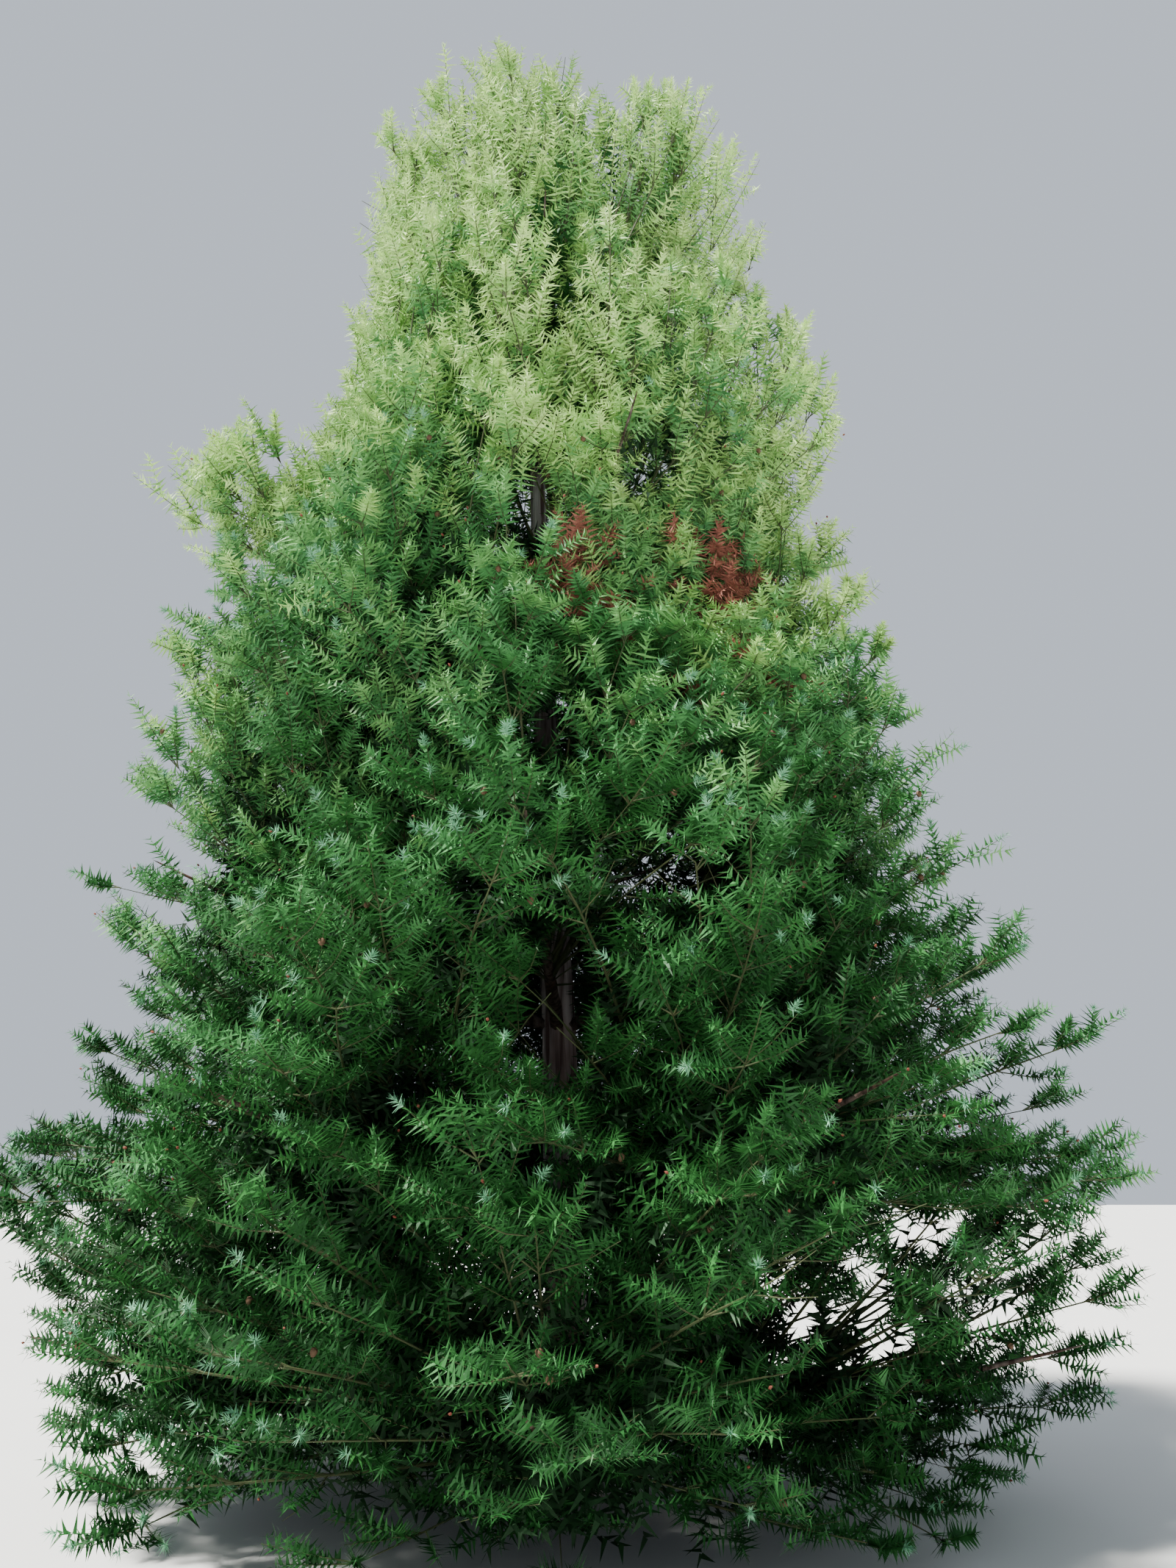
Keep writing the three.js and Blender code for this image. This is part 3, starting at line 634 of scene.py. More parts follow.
def inside(points, owner):
    """Whether points lie in their owner's space: within the crown's lumpy surface, between the wedge's walls,
    and between its tier's floor and the next one's, or in the one head or the other. Neighbours overlap."""
    out, azimuth = around_trunk(points)
    height = points[..., 2]
    own = np.minimum(owner, GREENS)
    aside = np.abs(turn_between(AZIMUTH[own], azimuth))
    to_wall = np.sin(np.minimum(HALF[own] - aside, math.pi / 2)) * out
    low = floor_height(BASE[own], SLOPE[own], out)
    high = floor_height(OVER_BASE[own], OVER_SLOPE[own], out)
    lumpy = (HOLLOW + (1 - HOLLOW) * LUMP_SHARE * lump_at(points)) * gap_share(height, azimuth)
    lumpy = lumpy * (1 + HEAD_SPREAD * smooth(height - HEAD_SPREAD_FROM))
    wedge = (to_wall > -WALL_OVERLAP) & (out < reach_of(own, height, azimuth) * lumpy)
    wedge &= (height > low - TIER_OVERLAP - 0.05) & (height < high + TIER_RISE + 0.05)
    aside = np.abs(turn_between(LEADER_TURN, azimuth))
    crossing = out * np.cos(aside)
    reach = crown_reach(height, azimuth) * lumpy
    right = (out < reach) & (aside < HEAD_WEDGE + HEAD_OVERLAP) & (crossing > HEAD_SPLIT)
    right &= height > floor_height(*TIERS[-1][:2], out)
    main = (aside > HEAD_WEDGE - HEAD_OVERLAP) | (crossing < HEAD_SPLIT)
    main &= (out < main_reach(azimuth) * reach) & (height > floor_height(*HEAD_TIER, out))
    within = np.where(owner == SECOND_HEAD, right, np.where(owner == MAIN_HEAD, main, wedge))
    within &= (owner < SECOND_HEAD) | (height < head_top(crossing, out * np.sin(azimuth)))
    return within & in_box(points)


def flatness(height):
    """How flat the sprays lie: flattest low down, 0 at the top, where they stand up in tufts."""
    return FLATTEST * smooth((FLAT_BELOW - height) / FLAT_BLEND)


def curve(start, middle, end, share):
    """Points on the quadratic curve from start to end that leaves start towards middle."""
    share = share[:, None]
    near, far = start[:, None], end[:, None]
    return near * (1 - share) ** 2 + middle[:, None] * 2 * share * (1 - share) + far * share**2


def bough_forks():
    """Where the limbs of the tiers' places start and end. Their tips are dealt evenly over the outer side of
    each place, with lumps and hollows of the lump size, and each foot is on the bough, further out for the
    tips that are nearer to its line. The last few are short and fill the inside along the place's walls."""
    counts = [FORKS[level] + FILL_FORKS for level, tier in enumerate(TIERS) for _ in range(tier[2])]
    counts = np.array([*counts, DEAD_FORKS])
    owner = np.repeat(np.arange(len(counts)), counts)
    number = np.concatenate([np.arange(count) for count in counts])
    owner = np.append(owner, np.full(LONG_FORKS, np.argmax(EXTRA)))
    number = np.append(number, LONG_FROM + np.arange(LONG_FORKS))
    across = (0.5 + number * EVEN_STEPS[0] + scatter(owner, 5)) % 1 * 2 - 1
    up = (0.5 + number * EVEN_STEPS[1] + scatter(owner, 6)) % 1
    key = number + 40 * owner
    long = number >= LONG_FROM
    across = np.where(long, LONG_SPREAD * across, across)
    fill = (number >= counts[owner] - FILL_FORKS) & (owner < GREENS) & ~long
    across = np.where(fill, np.sign(across) * (FILL_FROM + FILL_WIDTH * np.abs(across)), across)
    azimuth = AZIMUTH[owner] + across * WALL_REACH * HALF[owner]
    out = np.full(len(owner), 2.0)
    for _ in range(SETTLING_STEPS):
        low = floor_height(BASE[owner], SLOPE[owner], out)
        high = floor_height(OVER_BASE[owner], OVER_SLOPE[owner], out)
        high = np.minimum(high, CROWN_HEIGHT - TOP_MARGIN)
        height = low - TIER_OVERLAP + (high - low + TIER_OVERLAP + TIER_RISE) * up
        height = np.where(long, low - 0.15 + (LONG_TOP - TOP_MARGIN - low) * up, height)
        lump = lump_at(point_at(out, azimuth, height))
        far = np.where(long, reach_of(owner, height, azimuth), crown_reach(height, azimuth) * VIGOUR[owner])
        far = far * gap_share(height, azimuth) * np.where(fill, FILL_REACH, 1)
        out = 0.5 * out + 0.5 * far * (TIP_REACH + LUMP_REACH * lump + CHANCE_REACH * scatter(key, 24))
    tip = point_at(out, azimuth, height)
    inner = START[owner] * 0.5
    along = FOOT_NEAREST + FOOT_SPREAD * (1 - np.abs(across)) * scatter(number + owner * 9, 7)
    foot_out = inner + (out - inner) * along
    foot = point_at(foot_out, AZIMUTH[owner], bough_height(BASE[owner], SLOPE[owner], foot_out))
    dead = np.zeros(len(owner), bool)
    for near, far, low, high in DEAD_CLUSTERS:
        dead |= (across > near) & (across < far) & (up > low) & (up < high) & (owner == GREENS)
    return owner, foot, tip, dead


def head_forks():
    """Where the limbs of the two heads start and end: feet up each leader, and tips all over each dome, in
    turns of the golden angle. In the upper part every third tip stays inside, round the leader."""
    owner = np.repeat([SECOND_HEAD, MAIN_HEAD], HEAD_FORKS)
    number = np.concatenate([np.arange(count) for count in HEAD_FORKS])
    lowest, span, power = np.repeat(HEAD_TIPS, HEAD_FORKS, axis=0).T
    below, slope = np.repeat(HEAD_FEET, HEAD_FORKS, axis=0).T
    up = (number + 0.5) / np.repeat(HEAD_FORKS, HEAD_FORKS)
    second = owner == SECOND_HEAD
    height = lowest + span * up**power
    turn = GOLDEN_TURN * number
    azimuth = np.where(second, LEADER_TURN + HEAD_WEDGE * 1.02 * np.sin(turn), turn)
    aside = np.abs(turn_between(LEADER_TURN, azimuth))
    out = crown_reach(height, azimuth) * (HEAD_REACH + HEAD_CHANCE * scatter(number, 25))
    out = np.where(second, out, out * main_reach(azimuth))
    out = np.where((up > CORE_FROM) & (number % 3 == 0), CORE_SHARE * out, out)
    towards = HEAD_SPLIT * 0.95 / np.maximum(0.2, np.cos(aside))
    out = np.where(~second & (aside < HEAD_WEDGE), np.minimum(out, towards), out)
    height = np.minimum(height, head_top(out * np.cos(aside), out * np.sin(azimuth)) - 0.5)
    tip = point_at(out, azimuth, height)
    foot_height = height - below - slope * out
    leader_height = LEADER["tip"] - LEADER["base"]
    rise = np.clip(foot_height - LEADER["base"], 0.1, leader_height - 0.1)
    on_trunk = trunk_axis(np.clip(foot_height, *MAIN_FEET_SPAN))
    foot = np.where(second[:, None], leader_point(rise), on_trunk)
    return owner, foot, tip, np.zeros(len(owner), bool)


def fork_paths():
    """The limbs' curves. High up each leaves its foot outwards and then turns up to its tip. Low down it
    rises first and runs out level."""
    owner, foot, tip, dead = (np.concatenate(both) for both in zip(bough_forks(), head_forks()))
    reach = np.linalg.norm(tip - foot, axis=1, keepdims=True)
    away = foot - trunk_axis(foot[:, 2])
    level = tip - foot
    level[:, 2] *= 0.3
    upright = (owner > GREENS)[:, None]
    lead = unit(unit(level) + np.where(upright, 0.5 * UP, 0.6 * unit(away + 1e-6)))
    middle = foot + lead * reach * FORK_BEND
    early = foot[:, 2] + EARLY_RISE * (tip[:, 2] - foot[:, 2])
    middle[:, 2] += (early - middle[:, 2]) * flatness(foot[:, 2])
    return owner, dead, curve(foot, middle, tip, np.linspace(0, 1, FORK_RINGS))


def on_curve(paths, share):
    """The point and the direction at a share of each path, between its own points."""
    place = np.clip(share, 0, 1) * (paths.shape[1] - 1)
    low = np.minimum(place.astype(int), paths.shape[1] - 2)
    rest = (place - low)[..., None]
    rows = np.arange(len(paths)).reshape(-1, *[1] * (share.ndim - 1))
    before, after = paths[rows, low], paths[rows, low + 1]
    return before + (after - before) * rest, unit(after - before)


def branchlets(owner, dead, paths):
    """The curves of the branchlets. They stand in whorls along each limb, two wide and two narrow, and one
    leads on at its tip: low down in a flat fan, high up on all sides. They shrink to fit their space."""
    row, whorl, slot = np.indices((len(paths), MOST_WHORLS, len(FLAT_ANGLES)))
    owner, dead = owner[row], dead[row]
    length = np.linalg.norm(np.diff(paths, axis=1), axis=2).sum(1)[row]
    count = np.clip(length * (1 - WHORLS_FROM) / WHORL_SPACING, 2, MOST_WHORLS).astype(int)
    key = slot + 5 * whorl + 31 * row
    share = WHORLS_FROM + (1 - WHORLS_FROM) * (whorl + 1) / count
    foot, ahead = on_curve(paths, np.minimum(1, share - 0.03 * scatter(key, 8)))
    level, lift = frames(ahead)
    height = foot[..., 2]
    leads = slot == len(FLAT_ANGLES) - 1
    flat = flatness(height)
    turn = np.array(FLAT_TURNS)[whorl % 2, slot] * flat + np.array(ROUND_TURNS)[whorl % 2, slot] * (1 - flat)
    turn = np.radians(turn + swing(key, 9, TURN_SWING))
    angle = np.array(FLAT_ANGLES)[slot] * flat + np.array(ROUND_ANGLES)[slot] * (1 - flat)
    angle = np.radians(angle + swing(key, 10, ANGLE_SWING) * ~leads)
    turned = level * np.cos(turn)[..., None] + lift * (0.8 * np.sin(turn))[..., None]
    rise = 0.5 * smooth((height - 5.5) / 2.5) + swing(key, 28, 0.24)
    rise = UP * (rise - 0.5 * dead)[..., None]
    aim = unit(ahead * np.cos(angle)[..., None] + turned * np.sin(angle)[..., None] + rise)
    size = np.where(leads, LEADING_LENGTH, SIDE_LENGTH + 0.14 * np.clip(length * (1 - share), 0, 1))
    size = size * (0.78 + 0.44 * scatter(key, 11))
    size = size * (1 + 0.4 * smooth((height - 6.0) / 2.0))
    whole = aim * BEND_SHARES[0] + ahead * BEND_SHARES[1] + UP * BEND_SHARES[2]
    probe = whole * (0.75 + 0.55 * scatter(key, 31))[..., None]
    for _ in range(SHRINK_STEPS):
        size = np.where(inside(foot + probe * size[..., None], owner), size, size * SHRINK)
    tip = foot + whole * size[..., None]
    keep = (whorl < count) & (~leads | (whorl == count - 1)) & (size > LEAST_BRANCHLET)
    keep &= inside(foot + probe * size[..., None], owner)
    keep &= ~dead | (scatter(key, 30) < 0.9)
    middle = foot + aim * (0.5 * size)[..., None]
    return dead[keep], curve(foot[keep], middle[keep], tip[keep], np.linspace(0, 1, BRANCHLET_RINGS))


def twig_finish():
    """Smooth green bark of young wood, browner in places."""
    made, tree = finish_named("twig_bark", 0.7, 0.3)
    tone = noise(tree, (9.0, 9.0, 9.0), 3.0)
    return painted(made, mixed(tone, (0.03, 0.06, 0.02), (0.065, 0.06, 0.025)))


fork_owner, fork_dead, forks = fork_paths()
twig_dead, twigs = branchlets(fork_owner, fork_dead, forks)
clear = ~in_window(twigs).any(axis=1)
twig_dead, twigs = twig_dead[clear], twigs[clear]
fork_length = np.clip(np.linalg.norm(forks[:, -1] - forks[:, 0], axis=1), *FORK_LENGTHS)[:, None]
fork_radii = np.linspace(1, FORK_TIP_SHARE, FORK_RINGS) * FORK_RADIUS * fork_length * FORK_THICKNESS
twig_radii = np.linspace(1, BRANCHLET_TIP_SHARE, BRANCHLET_RINGS) * BRANCHLET_RADIUS
twig_radii = np.broadcast_to(twig_radii, twigs.shape[:2])
twig_bark = twig_finish()
piece("limbs", *tubes(forks, fork_radii, FORK_SIDES), twig_bark, "bark")
piece("twigs", *tubes(twigs, twig_radii, BRANCHLET_SIDES), twig_bark, "bark")


# The needle shoots
# Each branchlet carries flat shoots, left and right, and is one itself at its end. A shoot is a comb of
# narrow, pointed, sickle-shaped needles in two ranks on a green stem, fullest in the middle. An upright
# shoot is a round brush, a tip is a rosette, and the old shoots inside the crown are coarse and near-black
# with painted shade.
LONG, SHORT, INNER = 0, 1, 2
MOST_SHOOTS = 2
SHOOT_SPACING = 0.2
SIDE_FROM = 0.3
SIDE_SPAN = 0.4
SIDE_ANGLE = 52
SIDE_SWING = 16
SIDE_SIZES = (0.13, 0.3)
INNER_SHOOTS = 17
BOUGH_SHOOTS = 115
INNER_LENGTH = 0.2
INNER_CHANCE = 0.22
INNER_LIMIT = 0.76
TRUNK_SHOOTS = 300
LEAST_HEIGHT = 0.15

# The needles: pairs on a long, a short and an inner shoot, sizes, and the angles to the stem in degrees. The
# foot and the tip of a shoot end and start at these shares of its length.
NEEDLE_PAIRS = [22, 14, 8]
FIRST_NEEDLE = 0.4
NEEDLE_LENGTH = 0.074
NEEDLE_WIDTH = 0.0156
INNER_WIDTH = 0.025
STEM_WIDTH = 0.007
FOOT_SHARE = 0.42
TIP_SHARE = 0.87
COMB_ANGLE = 78
COMB_LEAN = 38
STANDS = (0.8, -0.32)
SHOOT_BEND = 0.1
BRUSH_RISE = 0.45
ROSETTE_WIDTH = 0.0065
ROSETTE_SHARE = 0.68
ROSETTE_LEAN = 56
ROSETTE_STEPS = 5
MOST_TRIANGLES = 190000

# The greens from the brightest to the darkest, each between two colours, and the least light of each but the
# last: steps of painted light, from painted sunlight on the sunlit ones to painted shade on the deep and dark
# ones. Two more tints follow them: the old shoots' near-black painted shade and the dead ones' russet.
CLUMP_SIZE = 0.8
TWIG_SIZE = 0.22
YOUNG_SHARE = 0.5
TINT_STEPS = [0.77, 0.57, 0.38, 0.23, 0.1]
TINTS = [
    ("sunlit", (0.62, 0.84, 0.32), (0.18, 0.34, 0.09)),
    ("fresh", (0.38, 0.62, 0.19), (0.1, 0.25, 0.055)),
    ("green", (0.17, 0.39, 0.12), (0.044, 0.155, 0.04)),
    ("bluish", (0.075, 0.25, 0.075), (0.02, 0.095, 0.027)),
    ("deep", (0.036, 0.16, 0.036), (0.011, 0.062, 0.014)),
    ("dark", (0.019, 0.1, 0.022), (0.006, 0.036, 0.008)),
]
DARKEST, SHADED, RUSSET = 5, 6, 7


def twig_shoots(paths, dead):
    """The root, direction, length and kind of each branchlet's shoots. Its own shoot starts a fifth up its
    curve. The side shoots are spaced along it, left and right in turn, at half a right angle or a little
    more, and shorter nearer the tip. In the head there are fewer, and dead ones hang."""
    row, number = np.indices((len(paths), MOST_SHOOTS))
    length = np.linalg.norm(np.diff(paths, axis=1), axis=2).sum(1)[row]
    count = np.clip((length - 0.1) / SHOOT_SPACING, 0, MOST_SHOOTS).astype(int)
    key = number + 17 * row
    share = SIDE_FROM + SIDE_SPAN * (number + 0.5) / count
    root, ahead = on_curve(paths, share)
    level, lift = frames(ahead)
    side = np.where(number % 2 == 0, 1.0, -1.0)
    angle = np.radians(SIDE_ANGLE + swing(key, 12, SIDE_SWING))
    roll = swing(key, 13, 0.8)
    turned = level * (side * np.cos(roll))[..., None] + lift * np.sin(roll)[..., None]
    rise = -0.5 if dead else 0.12 + 0.3 * smooth((root[..., 2:] - 6.5) / 2.5)
    aim = unit(ahead * np.cos(angle)[..., None] + turned * np.sin(angle)[..., None] + UP * rise)
    size = length * (0.75 - 0.34 * share) * (0.85 + 0.3 * scatter(key, 14))
    keep = number < count
    keep &= scatter(key, 32) > 0.65 * smooth((root[..., 2] - 5.8) / 1.5)
    own_root = on_curve(paths, np.full(len(paths), 0.2))[0]
    own = paths[:, -1] - own_root
    roots = np.concatenate([own_root, root[keep]])
    aims = np.concatenate([unit(own), aim[keep]])
    sizes = np.concatenate([np.linalg.norm(own, axis=1) * 1.04, np.clip(size, *SIDE_SIZES)[keep]])
    return roots, aims, sizes, np.repeat([LONG, SHORT], [len(own), keep.sum()])


def inner_shoots(owner, paths, count, span):
    """Old shoots on the bare inner part of each limb: round it by the golden turn, leaning forwards, where
    the limb's own space has room. High up there are half as many."""
    row, number = np.indices((len(paths), count))
    key = number + 23 * row
    root, ahead = on_curve(paths, 0.06 + span * (number + scatter(key, 21)) / count)
    level, lift = frames(ahead)
    turn = GOLDEN_TURN * number + 6 * scatter(row, 22)
    aim = unit(ahead * 0.45 + level * np.cos(turn)[..., None] + lift * np.sin(turn)[..., None])
    size = INNER_LENGTH + INNER_CHANCE * scatter(key, 23)
    keep = inside(root + aim * size[..., None], owner[row])
    keep &= (root[..., 2] < 5.0) | (scatter(key, 41) < 0.5)
    return root[keep], aim[keep], size[keep], np.full(keep.sum(), INNER)


def trunk_shoots(count):
    """Short old shoots that hide the trunk here and there, dealt up it by the golden turn, fewer high up."""
    number = np.arange(count)
    height = 0.3 + 6.9 * ((number + scatter(number, 36)) / count) ** 1.6
    turn = GOLDEN_TURN * number
    aim = np.stack([np.cos(turn), np.sin(turn), 0.2 + 0.5 * scatter(number, 37)], axis=-1)
    size = 0.25 + 0.3 * scatter(number, 38)
    return trunk_axis(height), unit(aim), size, np.full(count, INNER)


def outer_share(points):
    """How far out points lie between the trunk's axis and the crown's surface."""
    out, azimuth = around_trunk(points)
    return out / crown_reach(points[:, 2], azimuth)


def fitting(roots, aims, sizes, kinds):
    """Whether shoots end in the solids' own box and off the ground, are clear of the windows and, where
    they are old ones, lie deep in the crown."""
    ahead = aims * sizes[:, None]
    tips = roots + ahead
    found = in_box(tips) & (tips[:, 2] > LEAST_HEIGHT)
    found &= (kinds != INNER) | (outer_share(roots + 0.7 * ahead) < INNER_LIMIT)
    for share in (0.0, 0.5, 1.0):
        found &= ~in_window(roots + share * ahead)
    return found


def needle_mesh(some, kind, numbers, droop):
    """Needles in two ranks along each shoot, those with the given numbers. A needle is a long triangle, as
    broad at its foot as its neighbour is far. The ranks lean forwards towards the shoot's tip, where they
    open into a round rosette, and every second needle stands higher, so that the comb is thick. An upright
    shoot has them all round, as a brush. A shoot that isn't a twig's own gets a flat stem."""
    some, numbers = some[:, None, None], numbers[:, None]
    roots, aims, sizes = shoot_root[some], shoot_aim[some], shoot_size[some]
    level, lift = frames(aims)
    roll = swing(some, 15, 1.3)[..., None]
    side = level * np.cos(roll) + lift * np.sin(roll)
    normal = np.cross(side, aims)
    share = (numbers + FIRST_NEEDLE) / NEEDLE_PAIRS[kind]
    rank = np.array([1.0, -1.0])
    jitter = swing(some * 3.1 + numbers * 2.0 + (rank > 0), 16, 1)
    angle = np.radians(COMB_ANGLE - COMB_LEAN * share**3) + 0.7 * jitter
    full = 0.62 + 0.38 * np.sin(math.pi * np.clip(share * 0.8 + 0.15, 0, 1))
    long = NEEDLE_LENGTH * full * (1 + 0.4 * jitter)
    stand = np.where(numbers % 2 == 0, *STANDS) + 0.6 * jitter
    rosette = np.zeros_like(share, bool)
    brush = np.zeros_like(sizes, bool)
    if kind == INNER:
        long = long * 1.3
    else:
        rosette = share > TIP_SHARE
        brush = rosette | (aims[..., 2] > BRUSH_RISE)
    last = np.clip((share - TIP_SHARE) / (1 - TIP_SHARE), 0, 1)
    opened = np.radians(COMB_ANGLE - ROSETTE_LEAN * last**2) + 0.5 * jitter
    angle = np.where(rosette, opened, angle)
    long = np.where(rosette, ROSETTE_SHARE * long, long)
    around = np.where(brush, 2 * GOLDEN_TURN * numbers, 0.0)
    stand = np.where(brush, rank * np.sin(angle) * np.sin(around), stand)
    bend = SHOOT_BEND * (scatter(some, 17) - 0.35 - droop)
    uneven = swing(some * 1.7 + numbers * 3.0 + (rank > 0), 35, 1)
    along = (share + uneven * 0.9 / NEEDLE_PAIRS[kind]) * sizes
    foot = roots + aims * along[..., None] + normal * (bend * along * share * 2)[..., None]
    out = aims * np.cos(angle)[..., None] + side * (rank * np.sin(angle) * np.cos(around))[..., None]
    out = unit(out + normal * stand[..., None])
    tip = foot + out * long[..., None] - normal * (0.1 * long)[..., None]
    width = INNER_WIDTH if kind == INNER else np.where(rosette, ROSETTE_WIDTH, NEEDLE_WIDTH)[..., None]
    wide = unit(np.cross(normal, out)) * width / 2
    points = np.stack([foot - wide, foot + wide, tip], axis=-2).reshape(-1, 3)
    if numbers[0, 0] == 0 and kind != LONG:
        across = side * STEM_WIDTH / 2
        end = roots + (aims + normal * (2 * bend)[..., None]) * sizes[..., None]
        stems = np.stack([roots - across, roots + across, end], axis=-2)
        points = np.concatenate([points, stems.reshape(-1, 3)])
    return points, np.arange(len(points)).reshape(-1, 3)


def needle_finish(name, light, dark, roughness):
    """Living needles: waxy and half glossy, lighter and darker from shoot to shoot by fine noise."""
    made, tree = finish_named(name, roughness, 0.16)
    tone = noise(tree, (14.0, 14.0, 14.0), 2.0)
    fine = noise(tree, (90.0, 90.0, 90.0), 2.0)
    both = scaled(tone, 0.6, scaled(fine, 0.4))
    return painted(made, mixed(scaled(both, 2.4, -0.7), dark, light))


def needle_pieces(name, chosen, finish, slot="needles", replaced=(), droop=0.0, low=0.0, high=1.0):
    """The needles of one colour as joined pieces, each under the most triangles: on the chosen shoots, those
    between two shares of the shoot's length. In a young tip they stand closer."""
    made, nodes = 0, replaced
    for kind, pairs in enumerate(NEEDLE_PAIRS):
        part = np.flatnonzero(chosen & (shoot_kind == kind))
        numbers = np.arange(pairs)
        share = (numbers + FIRST_NEEDLE) / pairs
        numbers = numbers[(share > low) & (share <= high)]
        if low == TIP_SHARE:
            numbers = np.arange(numbers[0], numbers[-1] + 1, 1 / ROSETTE_STEPS)
        most = MOST_TRIANGLES // (2 * len(numbers) + 1)
        for start in range(0, len(part), most):
            points, faces = needle_mesh(part[start : start + most], kind, numbers, droop)
            made += 1
            piece(f"{name}_{made}", points, faces, finish, slot, nodes, soft=False)
            nodes = ()


living = twig_shoots(twigs[~twig_dead], False)
dead = twig_shoots(twigs[twig_dead], True)
old = inner_shoots(fork_owner[~fork_dead], forks[~fork_dead], INNER_SHOOTS, 0.7)
on_boughs = inner_shoots(np.arange(GREENS), limb_paths[:GREENS], BOUGH_SHOOTS, 0.75)
groups = (living, dead, old, on_boughs, trunk_shoots(TRUNK_SHOOTS))
shoots = [np.concatenate(parts) for parts in zip(*groups)]
shoots.append(np.concatenate([np.full(len(group[0]), group is dead) for group in groups]))
fits = fitting(*shoots[:4])
shoot_root, shoot_aim, shoot_size, shoot_kind, shoot_dead = (values[fits] for values in shoots)

# The colour of each shoot is painted light: sunlit yellow-green high up and on the outside, painted shade in
# blue-green and deep green lower down and further in, and dealt out by chance in between. Its foot is one
# tint darker, painted shade inside the shoot, and half the outer tips are young and pale.
number = np.arange(len(shoot_root))
height = shoot_root[:, 2]
raised = np.clip((height - 1.8) / 5.6, 0, 1) ** 0.85
outer = np.clip(outer_share(shoot_root), 1 - (CROWN_HEIGHT - height) / 2.4, 0.96)
clump = smooth(grain(shoot_root / CLUMP_SIZE, 29) * 1.6 - 0.3)
fine = grain(shoot_root / TWIG_SIZE, 39)
mottled = 0.26 * (clump - 0.5) + 0.3 * (fine - 0.5) + swing(number, 18, 0.16)
light = 0.07 + 0.82 * raised + 0.42 * (outer - 0.66) + mottled
tint = (light[:, None] < TINT_STEPS).sum(axis=1)
is_old = shoot_kind == INNER
# The old shoots inside the crown get painted shade: near-black below 6 m, the darkest green above it in the
# lit head.
tint = np.where(is_old, np.where(height > 6.0, DARKEST, SHADED), tint)
tint = np.where(shoot_dead, RUSSET, tint)
fresh = (tint < SHADED) & ~is_old
young = fresh & (outer > 0.74 + 0.2 * scatter(number, 19)) & (scatter(number, 40) < YOUNG_SHARE)
for tone, (name, bright, dull) in enumerate(TINTS):
    name = "needles_" + name
    finish = needle_finish(name, bright, dull, 0.5)
    nodes = [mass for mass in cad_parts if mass.startswith("foliage")] if tone == 1 else []
    of_tone = fresh & (tint == tone)
    # A shoot's foot, its inner part, gets the next darker tint: painted shade.
    darker = fresh & (np.minimum(tint + 1, DARKEST) == tone)
    needle_pieces(name, of_tone & young, finish, replaced=nodes, low=FOOT_SHARE, high=TIP_SHARE)
    needle_pieces(name + "_old", of_tone & ~young, finish, low=FOOT_SHARE)
    needle_pieces(name + "_feet", darker, finish, high=FOOT_SHARE)
    needle_pieces(name + "_inner", is_old & (tint == tone), finish)
# Young tips among the two brightest tints are painted sunlight, yellow-green; the rest are pale blue-green.
painted_sunlit_tips = needle_finish("needle_tips_light", (0.62, 0.84, 0.31), (0.28, 0.5, 0.11), 0.5)
pale_tips = needle_finish("needle_tips_pale", (0.2, 0.42, 0.26), (0.08, 0.24, 0.13), 0.5)
shaded = needle_finish("needles_shaded", (0.008, 0.035, 0.009), (0.003, 0.014, 0.004), 0.7)
russet = needle_finish("needles_russet", (0.38, 0.15, 0.11), (0.11, 0.035, 0.022), 0.8)
needle_pieces("needle_tips_light", young & (tint < 2), painted_sunlit_tips, low=TIP_SHARE)
needle_pieces("needle_tips_pale", young & (tint > 1), pale_tips, low=TIP_SHARE)
needle_pieces("needles_shaded", tint == SHADED, shaded)
needle_pieces("needles_russet", tint == RUSSET, russet, "dead_needles", ["dead_foliage"], 1.0)


# The cones and buds
# Small round brown cones hang at the middle of some outer shoots, each of broad pointed scales in spirals,
# and red-brown buds stand at shoot tips. They grow on their shoots.
CONE_LENGTH = 0.036
CONE_WIDTH = 0.028
CONE_SHARE = 0.016
CONES_BELOW = 6.5
BUD_LENGTH = 0.02
BUD_WIDTH = 0.012
BUD_SHARE = 0.05
BUDS_BELOW = 6.0


def egg(sides, rings, scales):
    """An egg of rings round +Z, 1 long and 1 wide: the radius is the root of what is left of a square, more
    below than above, and every second point of a ring, in turns, is drawn in between the scales."""
    share = np.linspace(0, 1, rings)[:, None]
    turn = np.linspace(0, 2 * math.pi, sides, endpoint=False)[None, :]
    turn = turn + math.pi / sides * np.arange(rings)[:, None]
    radius = 0.5 * np.sqrt(1 - (2 * share**0.8 - 1) ** 2) * (1 + scales * np.cos(sides / 2 * turn))
    radius = np.maximum(radius, 0.01)
    points = np.stack([radius * np.cos(turn), radius * np.sin(turn), share + 0 * turn], axis=-1)
    return points.reshape(-1, 3), ring_faces(1, rings, sides)


def growths(name, finish, slot, shape, chosen, place, hang, length, width):
    """One shape on each chosen shoot, at a share of its length, along it or hanging down from it."""
    points, faces = shape
    roots = shoot_root[chosen] + shoot_aim[chosen] * (place * shoot_size[chosen])[:, None]
    aims = unit(shoot_aim[chosen] * (1 - hang) - UP * hang)
    basis = np.stack([*frames(aims), aims], axis=1)
    grown = roots[:, None] + np.einsum("pk,nkc->npc", points * [width, width, length], basis)
    numbers = np.arange(len(roots))[:, None, None] * len(points)
    piece(name, grown.reshape(-1, 3), (faces[None] + numbers).reshape(-1, 4), finish, slot)


def brown_finish(name, light, dark):
    """Dry scales: two browns in fine noise, with a rough bump."""
    made, tree = finish_named(name, 0.75, 0.25)
    tone = noise(tree, (220.0, 220.0, 220.0), 3.0)
    return painted(made, mixed(scaled(tone, 1.6, -0.3), dark, light), tone, strength=0.6, distance=0.002)


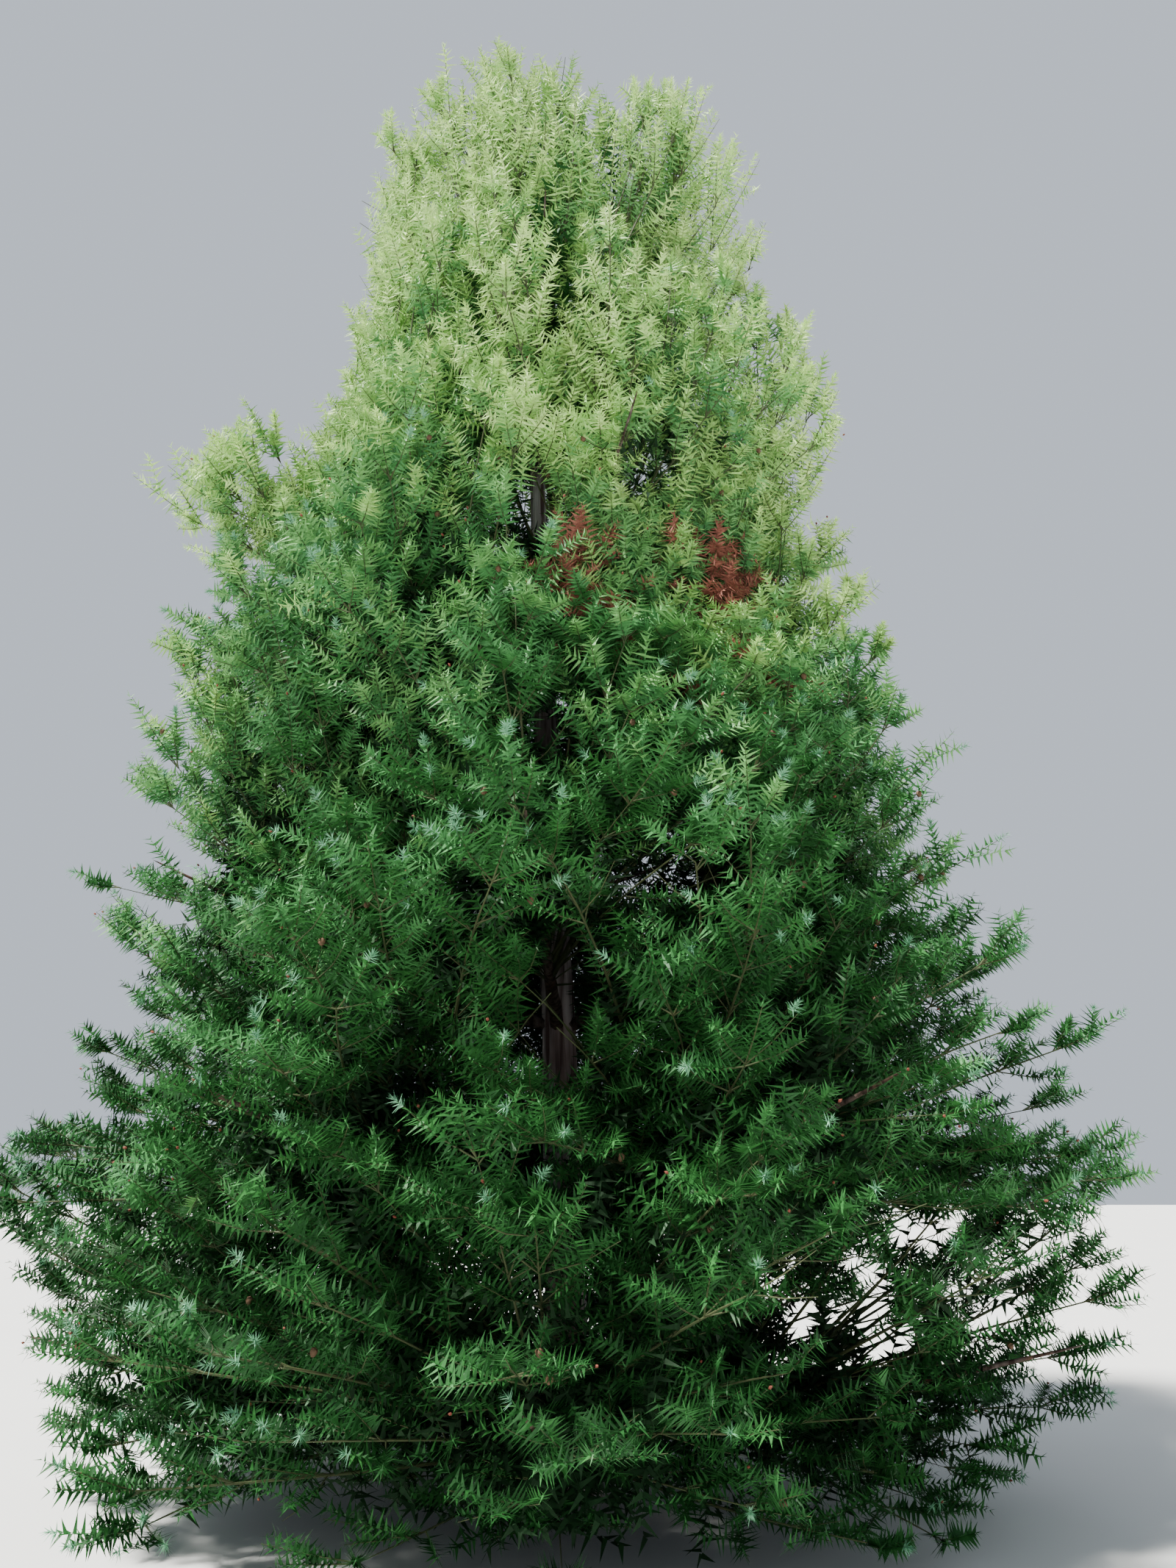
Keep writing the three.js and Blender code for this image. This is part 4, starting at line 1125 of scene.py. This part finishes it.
on_show = fresh & (outer > 0.6)
coned = on_show & (height < CONES_BELOW) & (scatter(number, 33) < CONE_SHARE)
budded = on_show & (height < BUDS_BELOW) & (scatter(number, 34) < BUD_SHARE)
cone_scales = brown_finish("cone_scales", (0.15, 0.085, 0.045), (0.05, 0.03, 0.017))
bud_scales = brown_finish("bud_scales", (0.22, 0.06, 0.035), (0.1, 0.028, 0.018))
growths("cones", cone_scales, "bark", egg(8, 7, 0.16), coned, 0.5, 8 / 11, CONE_LENGTH, CONE_WIDTH)
growths("buds", bud_scales, "needles", egg(6, 4, 0.1), budded, 0.99, 0.0, BUD_LENGTH, BUD_WIDTH)


# The ground, the light and the camera
# A plain pale floor under a pale sky, one broad sun high on the left, and the camera at the eye height,
# distance and upward tilt of the view.
TILT = 18.3
LONG_SIDE_LENS = 27.04

floor_mesh = bpy.data.meshes.new("floor")
floor_mesh.from_pydata([(-60, -60, 0), (60, -60, 0), (60, 60, 0), (-60, 60, 0)], [], [(0, 1, 2, 3)])
floor_finish, floor_tree = finish_named("floor", 0.9, 0.2)
floor_tone = noise(floor_tree, (0.6, 0.6, 0.6), 2.0)
floor_colour = mixed(floor_tone, (0.62, 0.62, 0.6), (0.66, 0.66, 0.64))
floor_mesh.materials.append(painted(floor_finish, floor_colour))
floor = shown("floor", floor_mesh)

world = bpy.data.worlds.new("pale_sky")
bpy.context.scene.world = world
world.use_nodes = True
world.node_tree.nodes["Background"].inputs["Color"].default_value = (0.8, 0.88, 1.0, 1.0)
world.node_tree.nodes["Background"].inputs["Strength"].default_value = 0.8

sun = bpy.data.lights.new("sun", "SUN")
sun.energy = 15.5
sun.angle = math.radians(7)
sun.color = (1.0, 0.98, 0.93)
shown("sun", sun).rotation_euler = (math.radians(17), math.radians(-25), 0)

camera = bpy.data.cameras.new("camera")
camera.sensor_width = 36
camera.lens = LONG_SIDE_LENS
camera.clip_end = 300
camera_object = shown("camera", camera)
camera_object.location = EYE
camera_object.rotation_euler = (math.radians(90 + TILT), 0, 0)
bpy.context.scene.camera = camera_object
